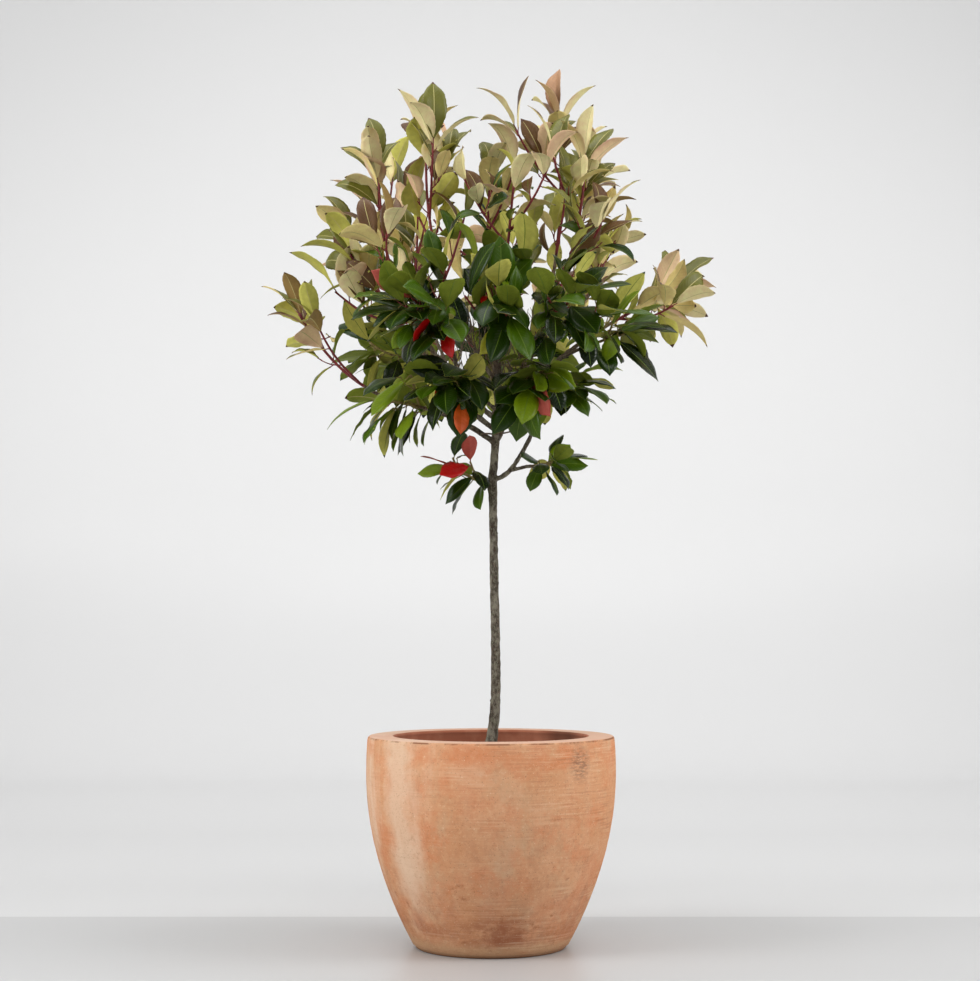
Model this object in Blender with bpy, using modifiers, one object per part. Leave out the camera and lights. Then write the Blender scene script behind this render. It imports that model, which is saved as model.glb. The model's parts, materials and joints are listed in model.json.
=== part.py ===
"""A potted standard photinia: a small patio tree with a clear stem, in a thick-walled clay pot.

Sizes are in metres. +X is the plant's right, +Y its back and +Z up, and the origin is the centre
of the pot's flat underside.

Every mass of foliage keeps to its own space, which is every point that lies nearer to its own
stem and twigs than to those of any other mass. Twigs and leaves are drawn by a seeded rule: one
that would leave that space, touch a limb or touch another leaf is turned a little and tried again,
and after a few tries it is skipped.
"""

import math
import random
from collections import namedtuple

import bmesh
import bpy
import numpy as np
from mathutils import Matrix, Vector

UP = Vector((0, 0, 1))

# Solids that meet keep a gap, which is wider where a stem's turned end meets its bough's tip
GAP = 0.0003
JOINT_GAP = 0.0006
MERGE = 0.00001
GOLDEN_TURN = math.radians(137.5)

# The pot: its outer wall is a parabola from the foot to the belly, then leans in a little to the lip
POT_HEIGHT = 0.293
POT_FOOT_RADIUS = 0.106
POT_BELLY_RADIUS = 0.175
POT_BELLY_HEIGHT = 0.245
POT_LIP_RADIUS = 0.173
POT_LIP_WIDTH = 0.038
POT_WALL_AT_FLOOR = 0.030
POT_FLOOR = 0.030
POT_ROUNDING = 0.004
POT_TURN_STEPS = 32
POT_WALL_STEPS = 7

SOIL_LEVEL = 0.262

# The trunk: height, then how far its middle lies to the right and to the back, then its radius
TRUNK_SIDES = 12
TRUNK_STATIONS = (
    (SOIL_LEVEL + GAP, 0.0000, 0.0000, 0.0135),
    (0.2680, 0.0000, 0.0000, 0.0106),
    (0.2810, 0.0006, 0.0002, 0.0088),
    (0.3060, 0.0030, 0.0010, 0.0077),
    (0.3560, 0.0068, 0.0020, 0.0068),
    (0.4830, 0.0052, 0.0010, 0.0063),
    (0.6100, 0.0030, -0.0010, 0.0058),
    (0.6430, 0.0016, -0.0012, 0.0072),
    (0.6640, 0.0032, -0.0008, 0.0059),
    (0.6930, 0.0055, 0.0000, 0.0057),
    (0.7370, 0.0080, 0.0006, 0.0063),
    (0.7570, 0.0092, 0.0008, 0.0066),
)

BOUGH_SIDES = 6
BOUGH_STEPS = 4
TWIG_SIDES = 3
STEM_STEPS = 5
TWIG_STEPS = 3

# A bough leaves its parent at a height on the trunk, or at a share of its parent bough's length.
# It runs to its tip, where its mass begins, and its middle stands above the straight line between
# by bow times its length, or hangs below it where bow is negative.
Bough = namedtuple("Bough", "parent leaves_at tip bow radius tip_radius")
BOUGHS = {
    "left_low": Bough("trunk", 0.704, (-0.121, -0.020, 0.759), 0.07, 0.0042, 0.0030),
    "left": Bough("trunk", 0.722, (-0.085, -0.050, 0.814), -0.06, 0.0040, 0.0029),
    "upper_left": Bough("trunk", 0.737, (-0.096, 0.020, 0.858), -0.07, 0.0042, 0.0029),
    "leader": Bough("trunk", None, (0.001, 0.026, 0.872), 0.00, 0.0048, 0.0030),
    "upper_right": Bough("trunk", 0.738, (0.086, -0.028, 0.888), -0.04, 0.0046, 0.0030),
    "right": Bough("trunk", 0.716, (0.138, 0.000, 0.854), 0.08, 0.0042, 0.0029),
    "right_low": Bough("trunk", 0.652, (0.073, -0.016, 0.758), -0.20, 0.0038, 0.0027),
    "front": Bough("trunk", 0.709, (0.012, -0.080, 0.825), -0.08, 0.0042, 0.0029),
    "back_right": Bough("trunk", 0.702, (0.055, 0.082, 0.850), -0.07, 0.0042, 0.0029),
    "left_under": Bough("left_low", 0.46, (-0.083, -0.056, 0.747), 0.04, 0.0028, 0.0024),
    "front_left": Bough("left", 0.45, (-0.050, -0.086, 0.812), -0.05, 0.0028, 0.0024),
    "back_left_low": Bough("upper_left", 0.30, (-0.065, 0.070, 0.812), 0.03, 0.0030, 0.0024),
    "back_left": Bough("upper_left", 0.62, (-0.086, 0.078, 0.880), -0.03, 0.0028, 0.0024),
    "top_left": Bough("leader", 0.30, (-0.042, -0.014, 0.872), -0.06, 0.0030, 0.0024),
    "front_high": Bough("leader", 0.52, (0.014, -0.030, 0.880), -0.04, 0.0028, 0.0024),
    "back": Bough("leader", 0.42, (0.006, 0.080, 0.860), -0.05, 0.0030, 0.0024),
    "top_right": Bough("upper_right", 0.50, (0.078, 0.030, 0.898), -0.06, 0.0030, 0.0024),
    "shoulder": Bough("upper_right", 0.72, (0.128, 0.026, 0.906), 0.02, 0.0026, 0.0022),
    "front_right": Bough("upper_right", 0.34, (0.062, -0.080, 0.829), -0.02, 0.0030, 0.0024),
    "right_front": Bough("right", 0.62, (0.113, -0.048, 0.827), 0.02, 0.0026, 0.0022),
    "spur_right": Bough("right_low", 0.30, (0.056, -0.020, 0.670), 0.04, 0.0028, 0.0024),
    "back_low": Bough("back_right", 0.34, (0.007, 0.082, 0.794), 0.02, 0.0028, 0.0024),
    "inner_left": Bough("front", 0.40, (-0.030, -0.066, 0.776), 0.02, 0.0028, 0.0024),
    "inner_right": Bough("front", 0.58, (0.044, -0.080, 0.792), 0.02, 0.0028, 0.0024),
}

# A mass grows on from its bough's tip, or from the trunk at a height. Its stem runs to the apex,
# with side shoots below that. Droop is how far its leaves hang.
Mass = namedtuple("Mass", "starts_at apex leaves shoots droop size seed")
MASSES = {
    "far_left": Mass("left_low", (-0.270, -0.030, 0.884), 8, 2, 0.10, 0.86, 155),
    "low_left": Mass("left_under", (-0.158, -0.085, 0.760), 5, 1, 2.40, 1.00, 37),
    "left": Mass("left", (-0.194, -0.090, 0.956), 8, 3, 0.05, 1.00, 21),
    "front_left": Mass("front_left", (-0.105, -0.185, 0.883), 8, 4, 0.50, 1.00, 144),
    "upper_left": Mass("upper_left", (-0.166, 0.030, 1.106), 8, 4, 0.00, 1.00, 78),
    "top_left": Mass("top_left", (-0.092, -0.020, 1.136), 8, 4, 0.00, 1.02, 140),
    "top_centre": Mass("leader", (-0.001, 0.050, 1.094), 7, 3, 0.00, 1.00, 115),
    "front_high": Mass("front_high", (0.032, -0.085, 1.060), 6, 3, 0.05, 0.86, 74),
    "top_right": Mass("top_right", (0.098, 0.040, 1.178), 7, 3, 0.00, 1.02, 161),
    "upper_right": Mass("upper_right", (0.132, -0.050, 1.101), 9, 3, 0.00, 1.00, 157),
    "shoulder": Mass("shoulder", (0.167, 0.060, 0.985), 7, 2, 0.10, 0.96, 9),
    "far_right": Mass("right", (0.256, 0.000, 0.917), 8, 2, 0.05, 1.00, 146),
    "right_front": Mass("right_front", (0.182, -0.110, 0.845), 6, 2, 0.90, 0.98, 157),
    "low_right": Mass("right_low", (0.119, -0.060, 0.782), 7, 3, 0.80, 0.88, 87),
    "front_right": Mass("front_right", (0.113, -0.185, 0.888), 8, 4, 0.50, 1.00, 22),
    "front": Mass("front", (0.009, -0.205, 0.891), 8, 4, 0.45, 1.00, 146),
    "inner_left": Mass("inner_left", (-0.061, -0.130, 0.774), 8, 4, 0.80, 0.94, 4),
    "inner_right": Mass("inner_right", (0.055, -0.140, 0.770), 8, 4, 0.80, 0.94, 78),
    "back_left": Mass("back_left", (-0.141, 0.180, 1.010), 7, 3, 0.05, 1.00, 96),
    "back_left_low": Mass("back_left_low", (-0.165, 0.165, 0.850), 7, 3, 0.35, 1.00, 55),
    "back": Mass("back", (0.011, 0.180, 1.054), 7, 3, 0.05, 1.00, 118),
    "back_right": Mass("back_right", (0.147, 0.180, 0.993), 7, 3, 0.10, 1.00, 15),
    "back_low": Mass("back_low", (0.020, 0.220, 0.840), 7, 3, 0.40, 1.00, 13),
    "spur_left": Mass(0.645, (-0.055, -0.020, 0.670), 6, 2, 1.20, 0.72, 120),
    "spur_right": Mass("spur_right", (0.100, -0.010, 0.681), 6, 2, 0.80, 0.72, 149),
}
STEM_RADIUS = 0.0026
STEM_TIP_RADIUS = 0.0017
STEM_PULL = 0.45
SPUR_STEM_RADIUS = 0.0030
SPUR_STEM_SAG = 0.10

# Side shoots: the share of the stem that they leave along, their length as a share of the stem's
# there, their lean in degrees and how strongly they bend upwards
TWIG_RADIUS = 0.0020
TWIG_TIP_RADIUS = 0.0014
TWIGS_FROM = 0.25
TWIGS_ALONG = 0.50
TWIG_REACH_AT_ROOT = 0.85
TWIG_REACH_LOST = 0.45
TWIG_MOST = 0.11
TWIG_VARIES = (0.80, 1.10)
TWIG_LEAN = (38, 58)
TWIG_BEND = 0.70
TWIG_TRIES = 8
TWIG_TRY_TURN = 0.30

# Leaves, sized with their stalks. A blade's shoulders are a share of its length from its root, and
# a share of its width wide. They stand up from its root by its arch, and its tip hangs below.
LEAF_LENGTH = 0.085
LEAF_WIDTH = 0.035
LEAF_ARCH = 0.035
LEAF_TIP_DROP = 0.03
LEAF_SHOULDERS = ((0.36, 0.94), (0.70, 0.88))
LEAF_ROOT_SUNK = 0.001
LEAF_VARIES = (0.88, 1.08)

# Along a twig leaves are set further apart with age, spread wider, in degrees, and grow broader
FIRST_LEAF_BACK = 0.003
LEAF_PITCH = 0.005
LEAF_PITCH_GAINED = 0.013
LEAFY_SHARE = 0.85
SIDE_SHOOT_LEAVES = 0.60
SIDE_SHOOT_LEAST = 4
LEAF_SPREAD = 14
LEAF_SPREAD_GAINED = 54
LEAF_SPREAD_EASE = 0.6
LEAF_SPREAD_VARIES = 6
YOUNG_LEAF_BREADTH = 0.88
LEAF_ROLL_VARIES = 28
YOUNG_DROOP = 0.30
LIGHT_FROM_ABOVE = 0.60

# What a leaf keeps clear of, how often it is tried and how far each try turns and spreads it
LEAF_ROOM = 0.0050
SPACE_MARGIN = 0.003
LIMB_ROOM = 0.003
LEAF_TRIES = 9
LEAF_TRY_TURN = 0.16
LEAF_TRY_SPREAD = 3
LEAF_SEED_STEP = 1000

Path = namedtuple("Path", "points radii")
Leaf = namedtuple("Leaf", "root direction face length width")
Growth = namedtuple("Growth", "twigs leaves")


def at_share(path, share):
    """The point a share of the way along a path, and the path's direction there."""
    place = share * (len(path.points) - 1)
    low = min(int(place), len(path.points) - 2)
    ahead = path.points[low + 1] - path.points[low]
    return path.points[low] + ahead * (place - low), ahead.normalized()


def at_height(path, height):
    """The point on a rising path at a height."""
    for low, high in zip(path.points, path.points[1:]):
        if low.z <= height <= high.z:
            return low.lerp(high, (height - low.z) / (high.z - low.z))
    return path.points[-1].copy()


def swept(start, control, end, radius, tip_radius, steps):
    """A path along the curve that leaves start towards control and comes to end, tapering evenly."""
    points = []
    radii = []
    for step in range(steps + 1):
        share = step / steps
        points.append(start.lerp(control, share).lerp(control.lerp(end, share), share))
        radii.append(radius + (tip_radius - radius) * share)
    return Path(points, radii)


def trunk_path():
    points = [Vector((right, back, height)) for height, right, back, _ in TRUNK_STATIONS]
    return Path(points, [station[3] for station in TRUNK_STATIONS])


def bough_path(bough, limbs):
    """A bough's path from the middle of its parent to its tip."""
    parent = limbs[bough.parent]
    if bough.leaves_at is None:
        start = parent.points[-1]
    elif bough.parent == "trunk":
        start = at_height(parent, bough.leaves_at)
    else:
        start, _ = at_share(parent, bough.leaves_at)
    tip = Vector(bough.tip)
    control = (start + tip) / 2 + UP * 2 * bough.bow * (tip - start).length
    if bough.leaves_at is None:
        control = start + UP * (tip - start).length / 2
    return swept(start, control, tip, bough.radius, bough.tip_radius, BOUGH_STEPS)


def stem_path(mass, limbs):
    """A mass's stem, from its bough's tip or the trunk's middle to the apex."""
    apex = Vector(mass.apex)
    if isinstance(mass.starts_at, str):
        tip, ahead = at_share(limbs[mass.starts_at], 1)
        start = tip + ahead * JOINT_GAP
        control = start + ahead * (apex - start).length * STEM_PULL
        return swept(start, control, apex, STEM_RADIUS, STEM_TIP_RADIUS, STEM_STEPS)
    start = at_height(limbs["trunk"], mass.starts_at)
    control = (start + apex) / 2 - UP * SPUR_STEM_SAG * (apex - start).length
    return swept(start, control, apex, SPUR_STEM_RADIUS, STEM_TIP_RADIUS, STEM_STEPS)


def sideways(ahead, turn):
    """A direction square to ahead, turned about it."""
    side = ahead.cross(UP if abs(ahead.z) < 0.9 else Vector((1, 0, 0))).normalized()
    return Matrix.Rotation(turn, 3, ahead) @ side


def twig_path(stem, share, turn, lean, length):
    """A side shoot that leaves the stem at a lean and bends upwards."""
    start, ahead = at_share(stem, share)
    out = ahead * math.cos(lean) + sideways(ahead, turn) * math.sin(lean)
    control = start + out * length / 2
    end = control + (out + UP * TWIG_BEND).normalized() * length / 2
    return swept(start, control, end, TWIG_RADIUS, TWIG_TIP_RADIUS, TWIG_STEPS)


def leaf_corners(leaf):
    """A leaf's root, its two pairs of shoulders and its tip."""
    across = leaf.face.cross(leaf.direction)
    corners = [leaf.root]
    for share, width in LEAF_SHOULDERS:
        middle = leaf.root + (leaf.direction * share + leaf.face * LEAF_ARCH) * leaf.length
        corners.append(middle + across * width * leaf.width / 2)
        corners.append(middle - across * width * leaf.width / 2)
    corners.append(leaf.root + (leaf.direction - leaf.face * LEAF_TIP_DROP) * leaf.length)
    return corners


def leaf_samples(leaf):
    """Points all over the blade, away from the root, for measuring how close things come."""
    root, left_low, right_low, left_high, right_high, tip = leaf_corners(leaf)
    low = (left_low + right_low) / 2
    high = (left_high + right_high) / 2
    waist = (low + high) / 2
    return [
        left_low, right_low, left_high, right_high, tip, low, high, waist,
        (left_low + left_high) / 2, (right_low + right_high) / 2, (high + tip) / 2,
        (left_high + tip) / 2, (right_high + tip) / 2,
    ]


def spans(paths):
    """The straight spans of some paths, as starts, ends and radii."""
    starts = [point for path in paths for point in path.points[:-1]]
    ends = [point for path in paths for point in path.points[1:]]
    radii = [radius for path in paths for radius in path.radii[:-1]]
    return np.array(starts), np.array(ends), np.array(radii)


def distances(points, starts, ends):
    """How far each point is from each span."""
    points = np.array(points)[:, None]
    along = (ends - starts)[None]
    share = ((points - starts) * along).sum(2) / (along**2).sum(2)
    nearest = starts + np.clip(share, 0, 1)[..., None] * along
    return np.linalg.norm(points - nearest, axis=2)


class Spaces:
    """The space of every mass, set out by the wood that is there already, and the room on the limbs."""

    def __init__(self, wood, limbs):
        self.limbs = spans(limbs.values())
        self.owners = []
        paths = []
        for owner, twigs in wood.items():
            for path in twigs:
                paths.append(path)
                self.owners += [owner] * (len(path.points) - 1)
        self.owners = np.array(self.owners)
        self.wood = spans(paths)

    def holds(self, owner, points):
        """Whether all these points lie in the owner's space and off the limbs."""
        starts, ends, radii = self.limbs
        if (distances(points, starts, ends) < radii + LIMB_ROOM).any():
            return False
        apart = distances(points, *self.wood[:2])
        own = apart[:, self.owners == owner].min(1)
        return bool((own + SPACE_MARGIN < apart[:, self.owners != owner].min(1)).all())


def grow_twigs(name, mass, stem, spaces):
    """The stem and those of its side shoots that keep to the mass's space."""
    chance = random.Random(mass.seed)
    reach = (stem.points[-1] - stem.points[0]).length
    first_turn = chance.uniform(0, math.tau)
    twigs = [stem]
    for number in range(mass.shoots):
        share = TWIGS_FROM + TWIGS_ALONG * (number + chance.random()) / mass.shoots
        longest = min(TWIG_MOST, reach * (TWIG_REACH_AT_ROOT - TWIG_REACH_LOST * share))
        length = longest * chance.uniform(*TWIG_VARIES)
        for trial in range(TWIG_TRIES):
            aside = chance.uniform(-TWIG_TRY_TURN, TWIG_TRY_TURN) * trial
            turn = first_turn + GOLDEN_TURN * number + aside
            lean = math.radians(chance.uniform(*TWIG_LEAN))
            twig = twig_path(stem, share, turn, lean, length)
            if spaces.holds(name, twig.points[1:]):
                twigs.append(twig)
                break
    return twigs


def grow_leaves(name, mass, twigs, spaces, taken):
    """Leaves in a spiral down each twig: close and upright at its tip, wider and lower further back."""
    chance = random.Random(LEAF_SEED_STEP + mass.seed)
    leaves = []
    for twig in twigs:
        length = sum((b - a).length for a, b in zip(twig.points, twig.points[1:]))
        count = mass.leaves
        if twig is not twigs[0]:
            count = max(SIDE_SHOOT_LEAST, round(mass.leaves * SIDE_SHOOT_LEAVES))
        first_turn = chance.uniform(0, math.tau)
        back = FIRST_LEAF_BACK
        for number in range(count):
            age = number / count
            root, ahead = at_share(twig, max(0.0, 1 - back / length))
            back += LEAF_PITCH + LEAF_PITCH_GAINED * age
            size = mass.size * chance.uniform(*LEAF_VARIES)
            for trial in range(LEAF_TRIES):
                aside = chance.uniform(-LEAF_TRY_TURN, LEAF_TRY_TURN) * trial
                turn = first_turn + GOLDEN_TURN * number + aside
                wider = chance.uniform(-LEAF_SPREAD_VARIES, LEAF_SPREAD_VARIES) + LEAF_TRY_SPREAD * trial
                spread = math.radians(LEAF_SPREAD + LEAF_SPREAD_GAINED * age**LEAF_SPREAD_EASE + wider)
                roll = math.radians(chance.uniform(-LEAF_ROLL_VARIES, LEAF_ROLL_VARIES))
                droop = mass.droop * (YOUNG_DROOP + age)
                leaf = turned_leaf(root, ahead, turn, spread, droop, roll, size, age)
                samples = leaf_samples(leaf)
                if spaces.holds(name, samples) and has_room(samples, taken):
                    leaves.append(leaf)
                    taken.append(np.array(samples))
                    break
            if back > LEAFY_SHARE * length:
                break
    return leaves


def turned_leaf(root, ahead, turn, spread, droop, roll, size, age):
    """A leaf at a spread from its twig, its upper face to the twig's tip and the light, then rolled."""
    direction = ahead * math.cos(spread) + sideways(ahead, turn) * math.sin(spread)
    direction = (direction - UP * droop).normalized()
    light = ahead + UP * LIGHT_FROM_ABOVE
    face = (light - direction * light.dot(direction)).normalized()
    face = Matrix.Rotation(roll, 3, direction) @ face
    root = root - direction * LEAF_ROOT_SUNK
    breadth = YOUNG_LEAF_BREADTH + (1 - YOUNG_LEAF_BREADTH) * age
    return Leaf(root, direction, face, LEAF_LENGTH * size, LEAF_WIDTH * size * breadth)


def has_room(samples, taken):
    """Whether a leaf's blade keeps clear of every leaf that is already there."""
    if not taken:
        return True
    near = np.concatenate(taken)[None] - np.array(samples)[:, None]
    return bool((np.einsum("ijk,ijk->ij", near, near) > LEAF_ROOM**2).all())


def grow_plant():
    """Every limb's path, and what grows in every mass."""
    limbs = {"trunk": trunk_path()}
    for name, bough in BOUGHS.items():
        limbs[name] = bough_path(bough, limbs)
    stems = {name: [stem_path(mass, limbs)] for name, mass in MASSES.items()}
    spaces = Spaces(stems, limbs)
    wood = {name: grow_twigs(name, mass, stems[name][0], spaces) for name, mass in MASSES.items()}
    spaces = Spaces(wood, limbs)
    taken = []
    crown = {}
    for name, mass in MASSES.items():
        crown[name] = Growth(wood[name], grow_leaves(name, mass, wood[name], spaces, taken))
    return limbs, crown


def new_collection(name):
    collection = bpy.data.collections.new(name)
    bpy.context.scene.collection.children.link(collection)
    return collection


def new_material(name, colour, roughness):
    material = bpy.data.materials.new(name)
    material.use_nodes = True
    shader = material.node_tree.nodes["Principled BSDF"]
    shader.inputs["Base Color"].default_value = (*colour, 1)
    shader.inputs["Roughness"].default_value = roughness
    return material


def new_object(name, mesh, collection, material):
    item = bpy.data.objects.new(name, mesh)
    collection.objects.link(item)
    item.data.materials.clear()
    item.data.materials.append(material)
    return item


def turned(name, profile, collection, material):
    """A body turned about Z from the (radius, height) points that run down its outer side."""
    mesh = bpy.data.meshes.new(name)
    points = [(radius, 0, height) for radius, height in profile]
    mesh.from_pydata(points, [(low, low + 1) for low in range(len(points) - 1)], [])
    item = new_object(name, mesh, collection, material)
    screw = item.modifiers.new("Turning", "SCREW")
    screw.steps = POT_TURN_STEPS
    screw.render_steps = POT_TURN_STEPS
    screw.use_merge_vertices = True
    screw.merge_threshold = MERGE
    return item


def pot_outer_radius(height):
    if height < POT_BELLY_HEIGHT:
        below = 1 - height / POT_BELLY_HEIGHT
        return POT_BELLY_RADIUS - (POT_BELLY_RADIUS - POT_FOOT_RADIUS) * below**2
    above = (height - POT_BELLY_HEIGHT) / (POT_HEIGHT - POT_BELLY_HEIGHT)
    return POT_BELLY_RADIUS - (POT_BELLY_RADIUS - POT_LIP_RADIUS) * above**2


def pot_inner_radius(height):
    rise = (height - POT_FLOOR) / (POT_HEIGHT - POT_FLOOR)
    return pot_outer_radius(height) - POT_WALL_AT_FLOOR - (POT_LIP_WIDTH - POT_WALL_AT_FLOOR) * rise


def heights(low, high, steps):
    return [low + (high - low) * step / steps for step in range(steps + 1)]


def make_pot(collection, material):
    """One shell: its floor and inner wall, the flat lip, the outer wall and the flat underside."""
    inside = heights(POT_FLOOR, POT_HEIGHT - POT_ROUNDING, POT_WALL_STEPS)
    outside = heights(POT_HEIGHT - POT_ROUNDING, POT_ROUNDING, POT_WALL_STEPS)
    profile = [(0, POT_FLOOR)]
    profile += [(pot_inner_radius(height), height) for height in inside]
    profile.append((pot_inner_radius(POT_HEIGHT) + POT_ROUNDING, POT_HEIGHT))
    profile.append((POT_LIP_RADIUS - POT_ROUNDING, POT_HEIGHT))
    profile += [(pot_outer_radius(height), height) for height in outside]
    profile.append((POT_FOOT_RADIUS - POT_ROUNDING, 0))
    profile.append((0, 0))
    return turned("pot", profile, collection, material)


def make_soil(collection, material):
    """The compost that fills the pot, a hair clear of its floor and wall."""
    sides = [(pot_inner_radius(height) - GAP, height) for height in
             heights(SOIL_LEVEL, POT_FLOOR + GAP, POT_WALL_STEPS - 1)]
    return turned("soil", [(0, SOIL_LEVEL), *sides, (0, POT_FLOOR + GAP)], collection, material)


def section(sides):
    """The regular polygon that a limb of this many sides is swept from."""
    curve = bpy.data.curves.new(f"section_{sides}", "CURVE")
    curve.dimensions = "2D"
    spline = curve.splines.new("POLY")
    spline.points.add(sides - 1)
    for corner, point in enumerate(spline.points):
        turn = -math.tau * corner / sides
        point.co = (math.cos(turn), math.sin(turn), 0, 1)
    spline.use_cyclic_u = True
    return bpy.data.objects.new(curve.name, curve)


def limb_mesh(name, path, profile, thicker=0.0):
    """The closed mesh of a tapering limb along a path."""
    curve = bpy.data.curves.new(name, "CURVE")
    curve.dimensions = "3D"
    curve.bevel_mode = "OBJECT"
    curve.bevel_object = profile
    curve.use_fill_caps = True
    spline = curve.splines.new("POLY")
    spline.points.add(len(path.points) - 1)
    for point, place, radius in zip(spline.points, path.points, path.radii):
        point.co = (*place, 1)
        point.radius = radius + thicker
    holder = bpy.data.objects.new(name, curve)
    bpy.context.scene.collection.objects.link(holder)
    mesh = bpy.data.meshes.new_from_object(holder.evaluated_get(bpy.context.evaluated_depsgraph_get()))
    mesh.name = name
    bpy.data.objects.remove(holder)
    bpy.data.curves.remove(curve)
    shape = bmesh.new()
    shape.from_mesh(mesh)
    bmesh.ops.remove_doubles(shape, verts=shape.verts, dist=MERGE)
    shape.to_mesh(mesh)
    shape.free()
    return mesh


def leaf_mesh(name, leaf):
    """A closed, arched blade: the hull of its root, shoulders and tip."""
    shape = bmesh.new()
    for corner in leaf_corners(leaf):
        shape.verts.new(corner)
    bmesh.ops.convex_hull(shape, input=shape.verts)
    bmesh.ops.triangulate(shape, faces=shape.faces)
    mesh = bpy.data.meshes.new(name)
    shape.to_mesh(mesh)
    shape.free()
    return mesh


def drawn_out(path):
    """A path made a hair longer at both ends."""
    points = list(path.points)
    points[0] = points[0] + (points[0] - points[1]).normalized() * GAP
    points[-1] = points[-1] + (points[-1] - points[-2]).normalized() * GAP
    return Path(points, path.radii)


def cut_clear(item, cutter):
    """Shapes a limb's root to the parent that it grows from, a hair clear of it."""
    cut = item.modifiers.new("Clear of parent", "BOOLEAN")
    cut.operation = "DIFFERENCE"
    cut.object = cutter


def make_limbs(limbs, collection, cutters, bark):
    """The trunk and boughs, and for every limb that others grow from, a cutter that clears it."""
    parents = {bough.parent for bough in BOUGHS.values()}
    profiles = {"trunk": section(TRUNK_SIDES)}
    bough_profile = section(BOUGH_SIDES)
    clearances = {}
    for name, path in limbs.items():
        profile = profiles.get(name, bough_profile)
        node = name if name == "trunk" else f"bough_{name}"
        item = new_object(node, limb_mesh(node, path, profile), collection, bark)
        if name in parents:
            around = limb_mesh(f"{node}_clearance", drawn_out(path), profile, GAP)
            clearance = new_object(around.name, around, cutters, bark)
            clearance.hide_render = True
            clearance.display_type = "WIRE"
            clearances[name] = clearance
        if name != "trunk":
            cut_clear(item, clearances[BOUGHS[name].parent])
    return clearances


def largest_shell(mesh):
    """Keeps a mesh's largest closed shell: loose scraps go, and so do the walls of sealed hollows."""
    shape = bmesh.new()
    shape.from_mesh(mesh)
    shells = []
    unseen = set(shape.verts)
    while unseen:
        shell = {unseen.pop()}
        edge = list(shell)
        while edge:
            vert = edge.pop()
            for link in vert.link_edges:
                other = link.other_vert(vert)
                if other not in shell:
                    shell.add(other)
                    edge.append(other)
        unseen -= shell
        shells.append(shell)
    shells.sort(key=len)
    for shell in shells[:-1]:
        bmesh.ops.delete(shape, geom=list(shell), context="VERTS")
    shape.to_mesh(mesh)
    shape.free()


def make_mass(name, growth, collection, profile, foliage):
    """One solid: the stem, its side shoots and its leaves, fused."""
    node = f"foliage_{name}"
    stem, *twigs = growth.twigs
    bits = new_collection(f"{node}_bits")
    for number, twig in enumerate(twigs):
        new_object(f"{node}_twig_{number}", limb_mesh("twig", twig, profile), bits, foliage)
    for number, leaf in enumerate(growth.leaves):
        new_object(f"{node}_leaf_{number}", leaf_mesh("leaf", leaf), bits, foliage)
    item = new_object(node, limb_mesh(node, stem, profile), collection, foliage)
    union = item.modifiers.new("Fusing", "BOOLEAN")
    union.operation = "UNION"
    union.operand_type = "COLLECTION"
    union.collection = bits
    union.solver = "EXACT"
    fused = bpy.data.meshes.new_from_object(item.evaluated_get(bpy.context.evaluated_depsgraph_get()))
    item.modifiers.clear()
    item.data = fused
    fused.name = node
    for bit in list(bits.objects):
        bpy.data.objects.remove(bit)
    bpy.data.collections.remove(bits)
    largest_shell(fused)
    return item


def main():
    for item in list(bpy.data.objects):
        bpy.data.objects.remove(item)
    plant = new_collection("potted_standard_photinia")
    cutters = new_collection("cutters")
    clay = new_material("clay", (0.66, 0.33, 0.19), 0.85)
    compost = new_material("compost", (0.045, 0.030, 0.020), 0.95)
    bark = new_material("bark", (0.16, 0.13, 0.10), 0.85)
    foliage = new_material("foliage", (0.10, 0.16, 0.04), 0.45)
    make_pot(plant, clay)
    make_soil(plant, compost)
    limbs, crown = grow_plant()
    clearances = make_limbs(limbs, plant, cutters, bark)
    profile = section(TWIG_SIDES)
    for name, growth in crown.items():
        item = make_mass(name, growth, plant, profile, foliage)
        if not isinstance(MASSES[name].starts_at, str):
            cut_clear(item, clearances["trunk"])


main()
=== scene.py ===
"""The looks of a potted standard photinia: a small patio tree with a clear stem, in a thick clay pot.

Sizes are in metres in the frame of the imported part: +X is the plant's right, +Y its back, +Z up and
the origin the centre of the pot's underside. The plant grows again here by the rule that shaped its
solids, from the same sizes and seeds, and goes on to finer twigs and smaller leaves within them.
"""

import json
import math
import random
from collections import namedtuple

import bmesh
import bpy
import numpy as np
from mathutils import Matrix, Vector, noise

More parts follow.
